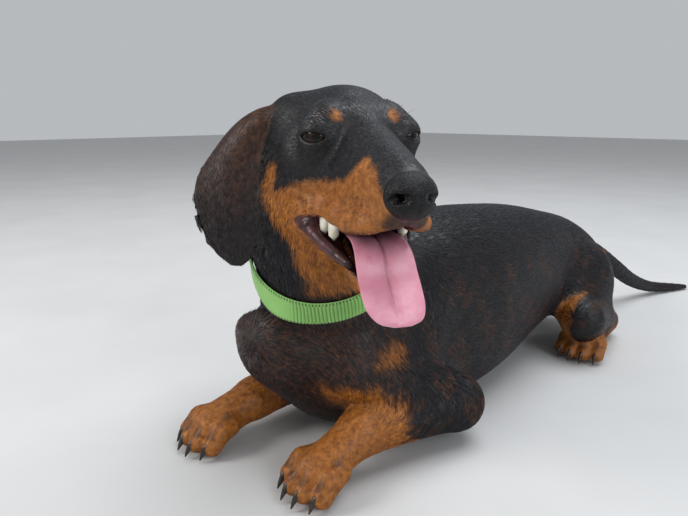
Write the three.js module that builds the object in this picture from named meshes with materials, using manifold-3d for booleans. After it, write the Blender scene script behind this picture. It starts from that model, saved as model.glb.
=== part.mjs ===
// A smooth-haired dachshund at life size, lying on its chest with its head up and turned to its left,
// the mouth open and the tongue out. It wears a webbing collar.
// Millimetres, +Z up. The chest faces -Y, the tail +Y and the dog's left side +X.
// The origin is on the floor, under the middle of the model's box.

import * as THREE from "three";
import { mergeVertices } from "three/addons/utils/BufferGeometryUtils.js";
import Module from "manifold-3d";

const wasm = await Module();
wasm.setup();

// Driving sizes
const GAP = 0.3; // between touching pieces
const ROOM = GAP * 1.7; // how much wider a socket is than the piece in it
const EYES_AT = [50, -205, 232]; // middle between the eyes
const HEAD_TURN = 60.7; // degrees to the dog's left
const HEAD_TILT = 0; // degrees, nose up is positive
const JAW_OPEN = 24; // degrees
const JAW_HINGE = [-50, 0, -25]; // in the head's own frame
const EYE = { out: 26, back: -1.5, up: 0, radius: 10.3 };
const COLLAR = { width: 15, thick: 2, at: [-4, -183, 153], up: [0.358, -0.487, 0.797], along: [0.13, -0.26, 0.957] };
const EAR = { thick: 3.4, length: 118 };
const TONGUE = { thick: 6.4 };
const TAIL = { root: 13, tip: 3 };

// Fields: each is a function of a point that is negative inside the form and close to a distance in mm
const join = (a, b, k) => {
  const h = Math.max(k - Math.abs(a - b), 0) / k;
  return Math.min(a, b) - (h * h * k) / 4;
};
const carve = (a, b, k) => -join(-a, b, k);

function ball([cx, cy, cz], r) {
  return (x, y, z) => Math.sqrt((x - cx) ** 2 + (y - cy) ** 2 + (z - cz) ** 2) - r;
}

// An ellipsoid, turned by degrees about its own X, Y and Z
function egg(at, [rx, ry, rz], turn = [0, 0, 0]) {
  const angles = new THREE.Euler(...turn.map(THREE.MathUtils.degToRad), "ZYX");
  const m = new THREE.Matrix4().makeRotationFromEuler(angles).setPosition(...at).invert().elements;
  return (x, y, z) => {
    const u = m[0] * x + m[4] * y + m[8] * z + m[12];
    const v = m[1] * x + m[5] * y + m[9] * z + m[13];
    const w = m[2] * x + m[6] * y + m[10] * z + m[14];
    const near = Math.sqrt((u / rx) ** 2 + (v / ry) ** 2 + (w / rz) ** 2);
    const steep = Math.sqrt((u / rx ** 2) ** 2 + (v / ry ** 2) ** 2 + (w / rz ** 2) ** 2);
    return steep < 1e-9 ? -Math.min(rx, ry, rz) : (near * (near - 1)) / steep;
  };
}

// A limb of round sections through points [x, y, z, radius], blended by k where it bends
function limb(points, k = 6) {
  return (x, y, z) => {
    let d = 1e9;
    for (let i = 1; i < points.length; i++) {
      const [ax, ay, az, ar] = points[i - 1];
      const [bx, by, bz, br] = points[i];
      const dx = bx - ax;
      const dy = by - ay;
      const dz = bz - az;
      const along = ((x - ax) * dx + (y - ay) * dy + (z - az) * dz) / (dx * dx + dy * dy + dz * dz);
      const t = Math.min(1, Math.max(0, along));
      const far = Math.sqrt((x - ax - t * dx) ** 2 + (y - ay - t * dy) ** 2 + (z - az - t * dz) ** 2);
      d = join(d, far - ar - t * (br - ar), k);
    }
    return d;
  };
}

// A smooth curve through [t, v] pairs, held level past its ends
function through(pairs) {
  const n = pairs.length;
  const slope = pairs.map((p, i) => {
    const a = pairs[Math.max(0, i - 1)];
    const b = pairs[Math.min(n - 1, i + 1)];
    return (b[1] - a[1]) / (b[0] - a[0]);
  });
  return (t) => {
    if (t <= pairs[0][0]) return pairs[0][1];
    if (t >= pairs[n - 1][0]) return pairs[n - 1][1];
    let i = 1;
    while (pairs[i][0] < t) i++;
    const [t0, v0] = pairs[i - 1];
    const [t1, v1] = pairs[i];
    const s = (t - t0) / (t1 - t0);
    const w = t1 - t0;
    return (
      v0 * (1 + 2 * s) * (1 - s) ** 2 + slope[i - 1] * w * s * (1 - s) ** 2 +
      v1 * s * s * (3 - 2 * s) - slope[i] * w * s * s * (1 - s)
    );
  };
}

// A trunk along one axis. Each station is [along, height of the widest place, half width, rise, drop].
function trunk(stations, square = 2) {
  const [wide, half, rise, drop] = [1, 2, 3, 4].map((c) => through(stations.map((s) => [s[0], s[c]])));
  const first = stations[0][0];
  const last = stations[stations.length - 1][0];
  return (along, across, up) => {
    const w = half(along);
    const u = up - wide(along);
    const h = u > 0 ? rise(along) : drop(along);
    const near = (Math.abs(across / w) ** square + Math.abs(u / h) ** square) ** (1 / square);
    const steep = Math.sqrt((across / w ** 2) ** 2 + (u / h ** 2) ** 2);
    const d = steep < 1e-6 ? -Math.min(w, h) : (near * (near - 1)) / steep;
    const over = Math.max(first - along, along - last);
    return Math.max(d, over);
  };
}

// Body

const straightTorso = trunk([
  [-246, 90, 8, 8, 8],
  [-238, 90, 27, 20, 28],
  [-216, 84, 43, 17, 42],
  [-186, 88, 54, 24, 73],
  [-150, 94, 59, 50, 89],
  [-110, 94, 62, 71, 94],
  [-55, 91, 62, 77, 92],
  [0, 91, 61, 74, 86],
  [55, 92, 56, 67, 70],
  [110, 88, 51, 60, 56],
  [160, 82, 48, 54, 48],
  [200, 78, 42, 40, 42],
  [222, 76, 29, 27, 30],
  [232, 76, 8, 8, 8],
], 2.15);
const chestBend = through([[-185, -17], [-120, -10], [-40, 0]]); // the chest leans to the dog's right
const torso = (x, y, z) => straightTorso(y, x - chestBend(y), z);

const neck = limb([
  [-14, -160, 108, 51],
  [-8, -178, 130, 48],
  [-4, -184, 148, 44.5],
  [-7, -186, 176, 48.5],
  [-7, -184, 204, 48],
], 18);

// Legs. side is 1 for the left and -1 for the right.
const LEFT = 1;
const RIGHT = -1;
const FORELEG = {
  [LEFT]: { elbow: [62, -112, 30], wrist: [44, -197, 31], knuckles: [41, -231, 17] },
  [RIGHT]: { elbow: [-62, -114, 30], wrist: [-58, -212, 26], knuckles: [-60, -247, 17] },
};
const HINDLEG = {
  knee: [66, 104, 44],
  hock: [56, 194, 20],
  knuckles: [64, 118, 15],
};

function upperForeleg(side) {
  const { elbow, wrist } = FORELEG[side];
  const lean = chestBend(-190) * 0.9;
  const blade = egg([side * 45 + lean * 0.6, -142, 102], [20, 40, 48], [-20, 0, 0]);
  const arm = limb([[side * 42 + lean, -188, 72, 25.5], [...elbow, 21]]);
  const forearm = limb([[...elbow, 20], [...wrist, 16.5]]);
  return (x, y, z) => join(join(blade(x, y, z), arm(x, y, z), 16), forearm(x, y, z), 10);
}

// A paw from the wrist or hock joint to the toes: four toes in a fan, each with its claw
const PAW = { width: 43, toe: 8.2, reach: 27, claw: 7.5 };
function toeRoots(from, knuckles) {
  const way = new THREE.Vector3(knuckles[0] - from[0], knuckles[1] - from[1], 0).normalize();
  const across = new THREE.Vector3(way.y, -way.x, 0);
  return [-1.5, -0.5, 0.5, 1.5].map((place) => {
    const inner = 1 - (Math.abs(place) - 0.5) * 0.28;
    const spread = (place * PAW.width) / 4.15;
    const root = new THREE.Vector3(...knuckles).addScaledVector(across, spread * 0.85);
    root.addScaledVector(way, -(1 - inner) * 12);
    const tip = new THREE.Vector3(...knuckles).addScaledVector(across, spread * 1.12);
    tip.addScaledVector(way, PAW.reach * 0.72 * inner);
    return { root, tip, way };
  });
}

function paw(from, fromRadius, knuckles) {
  const palm = limb([[...from, fromRadius], [knuckles[0], knuckles[1], knuckles[2] + 1, 14.5]]);
  const toes = toeRoots(from, knuckles).map(({ root, tip }) =>
    limb([[root.x, root.y, 18, PAW.toe], [(root.x + tip.x) / 2, (root.y + tip.y) / 2, 17.5, PAW.toe], [tip.x, tip.y, 9.5, 7.4]], 3));
  return (x, y, z) => {
    let d = palm(x, y, z);
    let fan = 1e9;
    for (const toe of toes) fan = join(fan, toe(x, y, z), 1.6);
    return join(d, fan, 6);
  };
}

function claws(from, knuckles) {
  return toeRoots(from, knuckles).map(({ tip, way }) => ({
    root: tip.clone().addScaledVector(way, 4.5).setZ(11),
    tip: tip.clone().addScaledVector(way, 5 + PAW.claw).setZ(4),
  }));
}

function upperHindleg(side) {
  const { knee, hock } = HINDLEG;
  const thigh = egg([side * 45, 148, 64], [27, 52, 47], [-24, 0, 0]);
  const calf = limb([[side * knee[0], knee[1], knee[2], 22], [side * 60, 150, 30, 17], [side * hock[0], hock[1], hock[2], 12]]);
  return (x, y, z) => join(thigh(x, y, z), calf(x, y, z), 18);
}

const TAIL_PATH = [
  [0, 200, 96, 17],
  [2, 236, 88, TAIL.root],
  [8, 270, 74, 11.2],
  [16, 310, 52, 9.6],
  [24, 352, 28, 8],
  [34, 395, 12, 6.6],
  [48, 430, 6, 5.2],
  [62, 460, 3.6, TAIL.tip],
];
const forelegs = { [LEFT]: upperForeleg(LEFT), [RIGHT]: upperForeleg(RIGHT) };
const hindlegs = { [LEFT]: upperHindleg(LEFT), [RIGHT]: upperHindleg(RIGHT) };
const forepaws = {};
const hindpaws = {};
for (const side of [LEFT, RIGHT]) {
  const { wrist, knuckles } = FORELEG[side];
  forepaws[side] = paw(wrist, 15.5, knuckles);
  const { hock, knuckles: toes } = HINDLEG;
  hindpaws[side] = paw([side * hock[0], hock[1] - 2, hock[2] - 5], 11.5, [side * toes[0], toes[1], toes[2]]);
}

// Head, in its own frame: X runs forward, Y to the dog's left and Z up, from the middle between the eyes
const headFrame = new THREE.Matrix4()
  .makeRotationFromEuler(new THREE.Euler(0, THREE.MathUtils.degToRad(-HEAD_TILT), THREE.MathUtils.degToRad(HEAD_TURN - 90), "ZYX"))
  .setPosition(...EYES_AT);
const jawTurn = new THREE.Matrix4()
  .makeTranslation(...JAW_HINGE)
  .multiply(new THREE.Matrix4().makeRotationY(THREE.MathUtils.degToRad(JAW_OPEN)))
  .multiply(new THREE.Matrix4().makeTranslation(...JAW_HINGE.map((v) => -v)));

function inFrame(matrix, field) {
  const m = matrix.clone().invert().elements;
  return (x, y, z) =>
    field(
      m[0] * x + m[4] * y + m[8] * z + m[12],
      m[1] * x + m[5] * y + m[9] * z + m[13],
      m[2] * x + m[6] * y + m[10] * z + m[14],
    );
}

const muzzle = trunk([
  [-20, -18, 30, 30, 34],
  [5, -24, 26, 30, 27],
  [22, -27, 22.5, 30, 23],
  [45, -29, 19, 27, 19.5],
  [64, -29, 16.5, 20, 17],
  [76, -29, 13.5, 16, 12.5],
  [85, -28, 7, 8, 7],
], 2.3);
const pair = (make) => [make(1), make(-1)];
const both = (fields, x, y, z) => Math.min(fields[0](x, y, z), fields[1](x, y, z));

const skull = egg([-42, 0, -3], [50, 38, 34.8]);
const brows = pair((s) => egg([-6, s * 19, 9], [14, 11, 11.5]));
const cheekbones = pair((s) => egg([-20, s * 27, -9], [26, 14.5, 15], [0, 0, s * 14]));
const cheeks = pair((s) => egg([-36, s * 22, -32], [27, 17, 27]));
const bridge = limb([[-4, 0, 6, 13], [22, 0, -6, 11.5], [74, 0, -19, 9]], 6);
const lips = pair((s) => limb([
  [72, s * 6.5, -38, 5],
  [56, s * 14.5, -44, 6],
  [38, s * 17, -46, 6.3],
  [20, s * 19.5, -44.5, 6.3],
  [-2, s * 25, -43.5, 6],
  [-18, s * 29, -46.5, 5],
], 6));
const earBases = [egg([-58, 31, 2], [18, 13, 15]), egg([-53, -31, 9.5], [21, 16, 16.5])];
const eyeRoom = pair((s) => egg([3, s * 35, -1], [16, 10, 9], [0, 0, s * -30]));
const lids = pair((s) => ball([EYE.back, s * EYE.out, EYE.up], EYE.radius + 2.1));
const lidGap = pair((s) => egg([EYE.back + 8.5, s * (EYE.out + 6.5), EYE.up - 0.5], [10, 10, 2.8], [0, 9, s * 32]));
const nose = egg([80, 0, -25.5], [12.4, 13.6, 12.4]);
const nostrils = pair((s) => limb([[91.5, s * 5.8, -25.5, 2.4], [87, s * 9.8, -26, 2.1], [82, s * 13.4, -28.5, 1.2]], 2));
const nostrilRoots = pair((s) => ball([85, s * 6, -25.5], 2));

function upperHead(x, y, z) {
  let d = skull(x, y, z);
  d = join(d, both(brows, x, y, z), 10);
  d = join(d, both(cheekbones, x, y, z), 14);
  d = join(d, both(cheeks, x, y, z), 16);
  d = join(d, muzzle(x, y, z), 12);
  d = join(d, bridge(x, y, z), 8);
  d = join(d, both(lips, x, y, z), 5);
  d = join(d, both(earBases, x, y, z), 12);
  d = carve(d, both(eyeRoom, x, y, z), 12);
  d = join(d, both(lids, x, y, z), 6);
  d = carve(d, both(lidGap, x, y, z), 1.5);
  d = join(d, nose(x, y, z), 2.5);
  d = carve(d, both(nostrils, x, y, z), 1.5);
  return carve(d, both(nostrilRoots, x, y, z), 1.5);
}

const mandible = trunk([
  [-56, -34, 22, 12, 22],
  [-20, -38, 26, 9, 20],
  [10, -40, 21, 5, 15.5],
  [36, -41, 16, 4.5, 10],
  [54, -42, 13, 5, 8.5],
  [63, -43, 9, 5, 7],
  [69, -43, 3, 3, 3],
], 2.3);
const lowerLips = pair((s) => limb([[63, s * 5, -39.5, 3.4], [42, s * 12.5, -38.5, 3.6], [16, s * 18, -37, 4], [-11, s * 25, -35, 4.6]], 5));
const jawBed = egg([26, 0, -33], [54, 11.5, 9.5]); // where the tongue lies
function lowerJaw(x, y, z) {
  const d = join(mandible(x, y, z), both(lowerLips, x, y, z), 4);
  return carve(d, jawBed(x, y, z), 4);
}
const openJaw = inFrame(jawTurn, lowerJaw);

// The thick rolled edge of the lower lip, from the corner of the open mouth forward
const lipRolls = pair((s) => limb([
  [-9, s * 31 - 1, -51.5, 3.2],
  [-1, s * 28.5 - 1.5, -58, 3.8],
  [10, s * 24.5 - 1.5, -63, 4],
  [26, s * 20 - 1.5, -67, 3.8],
  [38, s * 17 - 1.5, -69.5, 2.8],
], 1.5));

// The mouth: a wedge from its corner forward, between the upper lips and the lowered jaw
const MOUTH_CORNER = [-8, -50.5];
const mouthRoof = egg([24, 0, -50], [60, 13.5, 12]);
const mouthSide = limb([[MOUTH_CORNER[0], -60, MOUTH_CORNER[1], 2.6], [MOUTH_CORNER[0], 60, MOUTH_CORNER[1], 2.6]]);
function mouthWedge(x, y, z) {
  const under = z + 47 + 4.5 * Math.exp(-(((x - 38) / 20) ** 2));
  const over = -(z + 50 + (x + 19) * 0.48);
  return Math.max(under, over, MOUTH_CORNER[0] - x);
}

function headAndJaw(x, y, z) {
  let d = join(upperHead(x, y, z), openJaw(x, y, z), 10);
  d = carve(d, mouthWedge(x, y, z), 2.5);
  d = carve(d, mouthSide(x, y, z), 2.5);
  d = carve(d, mouthRoof(x, y, z), 3);
  return join(d, both(lipRolls, x, y, z), 2.5);
}
const tail = limb(TAIL_PATH, 8);
const headHere = inFrame(headFrame, headAndJaw);

function wholeDog(x, y, z) {
  let d = join(torso(x, y, z), neck(x, y, z), 22);
  d = join(d, headHere(x, y, z), 16);
  d = join(d, tail(x, y, z), 14);
  for (const side of [LEFT, RIGHT]) {
    d = join(d, join(forelegs[side](x, y, z), forepaws[side](x, y, z), 6), 12);
    d = join(d, join(hindlegs[side](x, y, z), hindpaws[side](x, y, z), 6), 12);
  }
  return d;
}

// Whether the inside corners of a cell are in one piece, and the outside ones too
const ONE_SHEET = Array.from({ length: 256 }, (_, mask) => {
  const joined = (inside) => {
    const corners = [0, 1, 2, 3, 4, 5, 6, 7].filter((c) => ((mask >> c) & 1) === inside);
    if (corners.length < 2) return true;
    const seen = [corners[0]];
    for (const c of seen)
      for (const bit of [1, 2, 4]) if (corners.includes(c ^ bit) && !seen.includes(c ^ bit)) seen.push(c ^ bit);
    return seen.length === corners.length;
  };
  return joined(1) && joined(0);
});

// Turns a field into a closed surface of near-square faces, one for each edge of the grid that it crosses
function surfaceOf(field, low, high, cell) {
  const count = low.map((v, i) => Math.ceil((high[i] - v) / cell[i]) + 2);
  const [nx, ny, nz] = count;
  const at = (i, j, k) => (k * ny + j) * nx + i;
  const start = low.map((v, i) => v - cell[i] / 2);
  const value = new Float32Array(nx * ny * nz);
  const rim = new Uint8Array(nx * ny * nz);
  for (let k = 0; k < nz; k++)
    for (let j = 0; j < ny; j++)
      for (let i = 0; i < nx; i++) {
        const edge = i === 0 || j === 0 || k === 0 || i === nx - 1 || j === ny - 1 || k === nz - 1;
        const f = field(start[0] + i * cell[0], start[1] + j * cell[1], start[2] + k * cell[2]);
        rim[at(i, j, k)] = edge;
        value[at(i, j, k)] = edge ? Math.max(f, 0.5) : f;
      }
  const corners = (i, j, k) => [0, 1, 2, 3, 4, 5, 6, 7].map((c) => at(i + (c & 1), j + ((c >> 1) & 1), k + (c >> 2)));
  // A cell that two sheets cross gets its nearest outside corner filled, until none is left
  for (let changed = true; changed; ) {
    changed = false;
    for (let k = 0; k < nz - 1; k++)
      for (let j = 0; j < ny - 1; j++)
        for (let i = 0; i < nx - 1; i++) {
          const c = corners(i, j, k);
          const mask = c.reduce((m, v, n) => m | ((value[v] < 0) << n), 0);
          if (ONE_SHEET[mask]) continue;
          const outside = c.filter((v) => value[v] >= 0 && !rim[v]);
          value[outside.reduce((m, v) => (value[v] < value[m] ? v : m))] = -0.3;
          changed = true;
        }
  }
  const points = [];
  const cellPoint = new Int32Array(nx * ny * nz).fill(-1);
  for (let k = 0; k < nz - 1; k++)
    for (let j = 0; j < ny - 1; j++)
      for (let i = 0; i < nx - 1; i++) {
        const corner = [];
        for (let c = 0; c < 8; c++) corner.push(value[at(i + (c & 1), j + ((c >> 1) & 1), k + (c >> 2))]);
        const inside = corner.filter((v) => v < 0).length;
        if (inside === 0 || inside === 8) continue;
        const sum = [0, 0, 0];
        let crossings = 0;
        for (let a = 0; a < 8; a++)
          for (const bit of [1, 2, 4]) {
            const b = a | bit;
            if (b === a || corner[a] < 0 === corner[b] < 0) continue;
            const t = corner[a] / (corner[a] - corner[b]);
            sum[0] += (a & 1) + (bit === 1 ? t : 0);
            sum[1] += ((a >> 1) & 1) + (bit === 2 ? t : 0);
            sum[2] += (a >> 2) + (bit === 4 ? t : 0);
            crossings++;
          }
        cellPoint[at(i, j, k)] = points.length / 3;
        const p = [i, j, k].map((v, c) => start[c] + (v + sum[c] / crossings) * cell[c]);
        points.push(...settle(field, p, cell));
      }
  const faces = [];
  const far = (a, b) => Math.hypot(...[0, 1, 2].map((c) => points[3 * a + c] - points[3 * b + c]));
  const quad = (a, b, c, d, flip) => {
    const loop = flip ? [d, c, b, a] : [a, b, c, d];
    if (far(loop[0], loop[2]) < far(loop[1], loop[3])) faces.push(loop[0], loop[1], loop[2], loop[0], loop[2], loop[3]);
    else faces.push(loop[1], loop[2], loop[3], loop[1], loop[3], loop[0]);
  };
  for (let k = 0; k < nz - 1; k++)
    for (let j = 0; j < ny - 1; j++)
      for (let i = 0; i < nx - 1; i++) {
        const v = value[at(i, j, k)] < 0;
        const cellAt = (di, dj, dk) => cellPoint[at(i + di, j + dj, k + dk)];
        if (v !== value[at(i + 1, j, k)] < 0)
          quad(cellAt(0, -1, -1), cellAt(0, 0, -1), cellAt(0, 0, 0), cellAt(0, -1, 0), !v);
        if (v !== value[at(i, j + 1, k)] < 0)
          quad(cellAt(-1, 0, -1), cellAt(-1, 0, 0), cellAt(0, 0, 0), cellAt(0, 0, -1), !v);
        if (v !== value[at(i, j, k + 1)] < 0)
          quad(cellAt(-1, -1, 0), cellAt(0, -1, 0), cellAt(0, 0, 0), cellAt(-1, 0, 0), !v);
      }
  return new wasm.Manifold(new wasm.Mesh({
    numProp: 3,
    vertProperties: new Float32Array(points),
    triVerts: new Uint32Array(faces),
  }));
}

// Moves a point onto the field's surface, by at most 0.45 of a cell
function settle(field, p, cell) {
  const q = [...p];
  const e = 0.2;
  for (let round = 0; round < 2; round++) {
    const f = field(...q);
    const g = [0, 1, 2].map((c) => {
      const a = [...q];
      const b = [...q];
      a[c] += e;
      b[c] -= e;
      return (field(...a) - field(...b)) / (2 * e);
    });
    const gg = g[0] ** 2 + g[1] ** 2 + g[2] ** 2 || 1;
    for (let c = 0; c < 3; c++) {
      const reach = 0.45 * cell[c];
      q[c] = Math.min(p[c] + reach, Math.max(p[c] - reach, q[c] - (f * g[c]) / gg));
    }
  }
  return q;
}

// Merges short edges where the surface is flat, until it has the wanted number of faces or errs by more than allowed
function thin(made, faces, error = 0.6) {
  const mesh = made.getMesh();
  const stride = mesh.numProp;
  const at = Array.from({ length: mesh.numVert }, (_, i) => Array.from(mesh.vertProperties.subarray(i * stride, i * stride + 3)));
  let tris = [];
  for (let i = 0; i < mesh.numTri; i++) tris.push(Array.from(mesh.triVerts.subarray(3 * i, 3 * i + 3)));
  const minus = (a, b) => [a[0] - b[0], a[1] - b[1], a[2] - b[2]];
  const cross = (a, b) => [a[1] * b[2] - a[2] * b[1], a[2] * b[0] - a[0] * b[2], a[0] * b[1] - a[1] * b[0]];
  const dot = (a, b) => a[0] * b[0] + a[1] * b[1] + a[2] * b[2];
  const normal = (t, p = (v) => at[v]) => cross(minus(p(t[1]), p(t[0])), minus(p(t[2]), p(t[0])));
  for (let pass = 0; pass < 40 && tris.length > faces; pass++) {
    const around = at.map(() => []);
    tris.forEach((t, i) => t.forEach((v) => around[v].push(i)));
    const planes = tris.map((t) => {
      const n = normal(t);
      const size = Math.hypot(...n) || 1;
      const unit = n.map((v) => v / size);
      return [...unit, -dot(unit, at[t[0]]), size];
    });
    const away = (v, p) => {
      let sum = 0;
      for (const i of around[v]) sum = Math.max(sum, Math.abs(dot(planes[i], p) + planes[i][3]));
      return sum;
    };
    const edges = [];
    for (const t of tris)
      for (let k = 0; k < 3; k++) {
        const [a, b] = [t[k], t[(k + 1) % 3]];
        if (a > b) continue;
        const middle = [0, 1, 2].map((c) => (at[a][c] + at[b][c]) / 2);
        const options = [middle, at[a], at[b]].map((p) => [Math.max(away(a, p), away(b, p)), p]);
        const best = options.reduce((x, y) => (y[0] < x[0] ? y : x));
        if (best[0] < error) edges.push([best[0] + 0.004 * Math.hypot(...minus(at[a], at[b])), a, b, best[1]]);
      }
    edges.sort((x, y) => x[0] - y[0]);
    const held = new Uint8Array(at.length);
    const goal = Math.min((tris.length - faces) / 2, tris.length / 10 + 4);
    let merged = 0;
    for (const [, a, b, p] of edges) {
      if (merged >= goal) break;
      if (held[a] || held[b]) continue;
      const near = (v) => new Set(around[v].flatMap((i) => tris[i]).filter((u) => u !== v));
      const nearA = near(a);
      const nearB = near(b);
      if ([...nearA].filter((v) => nearB.has(v)).length !== 2 || nearA.size + nearB.size < 8) continue;
      const moved = (v) => (v === a || v === b ? p : at[v]);
      const folds = [...around[a], ...around[b]].some((i) => {
        const t = tris[i];
        if (t.includes(a) && t.includes(b)) return false;
        const before = normal(t);
        const after = normal(t, moved);
        const longest = Math.max(...[0, 1, 2].map((k) => Math.hypot(...minus(moved(t[k]), moved(t[(k + 1) % 3])))));
        return dot(before, after) < 0.3 * Math.hypot(...before) * Math.hypot(...after) || Math.hypot(...after) < 0.04 * longest ** 2;
      });
      if (folds) continue;
      for (const v of [...nearA, ...nearB]) held[v] = 1;
      at[a] = p;
      for (const i of around[b]) tris[i] = tris[i].map((v) => (v === b ? a : v));
      merged++;
    }
    tris = tris.filter((t) => t[0] !== t[1] && t[1] !== t[2] && t[0] !== t[2]);
    if (merged < 3) break;
  }
  return new wasm.Manifold(new wasm.Mesh({
    numProp: 3,
    vertProperties: new Float32Array(at.flat()),
    triVerts: new Uint32Array(tris.flat()),
  }));
}

// Solids from three.js geometry, and back
function solid(geometry, matrix) {
  const bare = new THREE.BufferGeometry().setAttribute("position", geometry.getAttribute("position"));
  if (geometry.index) bare.setIndex(geometry.index);
  if (matrix) bare.applyMatrix4(matrix);
  const merged = mergeVertices(bare, 1e-4);
  return new wasm.Manifold(new wasm.Mesh({
    numProp: 3,
    vertProperties: new Float32Array(merged.attributes.position.array),
    triVerts: new Uint32Array(merged.index.array),
  }));
}

function largest(made) {
  return made.decompose().reduce((a, b) => (b.volume() > a.volume() ? b : a));
}

function geometryOf(made) {
  const mesh = made.getMesh();
  const n = mesh.numProp;
  const position = new Float32Array(mesh.numVert * 3);
  for (let i = 0; i < mesh.numVert; i++) position.set(mesh.vertProperties.subarray(i * n, i * n + 3), i * 3);
  const geometry = new THREE.BufferGeometry();
  geometry.setAttribute("position", new THREE.BufferAttribute(position, 3));
  geometry.setIndex(new THREE.BufferAttribute(mesh.triVerts, 1));
  geometry.computeVertexNormals();
  return geometry;
}

// The same solid with every point moved outwards
function swell(made, by) {
  const geometry = geometryOf(made);
  const { position, normal } = geometry.attributes;
  for (let i = 0; i < position.count; i++)
    position.setXYZ(i, position.getX(i) + by * normal.getX(i), position.getY(i) + by * normal.getY(i), position.getZ(i) + by * normal.getZ(i));
  return solid(geometry);
}

// A large box whose face passes through a point, on the side that the normal points to
const BLOCK = 900;
function halfSpace(point, normal, shift = 0) {
  const n = new THREE.Vector3(...normal).normalize();
  const turn = new THREE.Quaternion().setFromUnitVectors(new THREE.Vector3(0, 0, 1), n);
  const middle = new THREE.Vector3(...point).addScaledVector(n, BLOCK / 2 + shift);
  return solid(new THREE.BoxGeometry(BLOCK, BLOCK, BLOCK), new THREE.Matrix4().compose(middle, turn, new THREE.Vector3(1, 1, 1)));
}
const aboveFloor = halfSpace([0, 0, 0], [0, 0, 1]);
const headPoint = (f, l, u) => new THREE.Vector3(f, l, u).applyMatrix4(headFrame).toArray();
const headWay = (f, l, u) => new THREE.Vector3(f, l, u).transformDirection(headFrame).toArray();

// Where the parts divide
const NECK_BASE = { at: [-8, -178, 122], way: [0.3, -0.62, 0.72] };
const HEAD_BASE = { at: headPoint(-60, 0, -32), way: headWay(0.741, 0, 0.671) };
const cut = (place, side) => halfSpace(place.at, place.way.map((v) => v * side), GAP / 2);

const earSolids = [];
const group = new THREE.Group();
group.name = "dachshund";
const COAT = { black: "#17120f", tan: "#a4581c" };
function add(name, made, color, roughness, metalness = 0) {
  const mesh = new THREE.Mesh(geometryOf(made), new THREE.MeshStandardMaterial({ color, roughness, metalness }));
  mesh.name = name;
  group.add(mesh);
  console.log(name, made.numTri());
}

const toWorld = (made) => made.transform(headFrame.elements);

// A closed sheet with rounded edges over a path: at(s, t) is its middle surface, half(s, t) half its thickness
function sheet(at, half, along, across) {
  const position = [];
  const index = [];
  const point = (s, t, face) => {
    const e = 1e-3;
    const p = at(s, t);
    const ds = at(Math.min(1, s + e), t).sub(at(Math.max(0, s - e), t));
    const dt = at(s, Math.min(1, t + e)).sub(at(s, Math.max(-1, t - e)));
    return p.addScaledVector(ds.cross(dt).normalize(), face * half(s, t));
  };
  const loop = [];
  for (let j = 0; j <= across; j++) loop.push([-1 + (2 * j) / across, 1]);
  for (let j = across - 1; j > 0; j--) loop.push([-1 + (2 * j) / across, -1]);
  const n = loop.length;
  for (let i = 0; i <= along; i++)
    for (const [t, face] of loop) position.push(...point(i / along, t, Math.abs(t) > 0.999 ? 0 : face).toArray());
  for (let i = 0; i < along; i++)
    for (let j = 0; j < n; j++) {
      const a = i * n + j;
      const b = i * n + ((j + 1) % n);
      const c = a + n;
      const d = b + n;
      index.push(a, b, d, a, d, c);
    }
  for (const end of [0, along]) {
    const ring = Array.from({ length: n }, (_, j) => end * n + j);
    for (let j = 0; j < across; j++) {
      const top = [ring[j], ring[j + 1]];
      const low = [ring[(n - j) % n], ring[(n - j - 1) % n]];
      const quad = end === 0 ? [top[0], low[0], low[1], top[1]] : [top[0], top[1], low[1], low[0]];
      if (quad[0] !== quad[1] && quad[0] !== quad[3]) {
        const tri = [[quad[0], quad[1], quad[2]], [quad[0], quad[2], quad[3]]];
        for (const f of tri) if (new Set(f).size === 3) index.push(...f);
      } else index.push(...[...new Set(quad)]);
    }
  }
  const geometry = new THREE.BufferGeometry();
  geometry.setAttribute("position", new THREE.BufferAttribute(new Float32Array(position), 3));
  geometry.setIndex(index);
  if (solid(geometry).volume() < 0) geometry.setIndex(index.reverse());
  return solid(geometry);
}

// Ears, in the head's frame. s runs from the root to the tip, t from the front edge to the rear one.
const EARS = {
  right: {
    side: -1,
    forward: through([[0, -56], [0.2, -57], [0.5, -56.5], [0.8, -46.5], [1, -42]]),
    out: through([[0, 30], [0.1, 44], [0.25, 61], [0.5, 75], [0.75, 76], [1, 73]]),
    up: through([[0, 12], [0.1, 15.5], [0.25, 2.5], [0.5, -28], [0.75, -60], [1, -86]]),
    turn: through([[0, 10], [0.25, 44], [0.5, 56], [1, 60]]),
  },
  left: {
    side: 1,
    forward: through([[0, -56], [0.2, -60], [0.5, -66], [1, -72]]),
    out: through([[0, 28], [0.1, 40], [0.25, 46.5], [0.5, 51], [0.75, 55], [1, 57]]),
    up: through([[0, 8], [0.1, 9], [0.25, -3], [0.5, -27], [0.75, -53], [1, -78]]),
    turn: through([[0, 0], [0.25, 5], [1, 8]]),
  },
};
const earWide = through([[0, 15], [0.15, 14], [0.35, 18], [0.5, 25], [0.65, 28.5], [0.8, 25.5], [0.93, 16], [1, 4]]);
const earCup = through([[0, 1], [0.2, 5], [0.6, 7], [1, 2]]);
for (const [word, ear] of Object.entries(EARS)) {
  const at = (s, t) => {
    const a = THREE.MathUtils.degToRad(ear.turn(s));
    const w = earWide(s) * t;
    const cup = earCup(s) * (1 - t * t);
    const f = ear.forward(s) - Math.cos(a) * w + Math.sin(a) * cup;
    const l = ear.out(s) + Math.sin(a) * w + Math.cos(a) * cup;
    return new THREE.Vector3(f, ear.side * l, ear.up(s));
  };
  const half = (s, t) => (EAR.thick / 2) * Math.sqrt(1 - t * t) * (1 + 0.8 * (1 - s) ** 3);
  const flap = toWorld(sheet(at, half, 12, 7));
  earSolids.push([word, flap, swell(flap, ROOM).add(flap)]);
}

const earRooms = earSolids.map((ear) => ear[2]);

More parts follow.
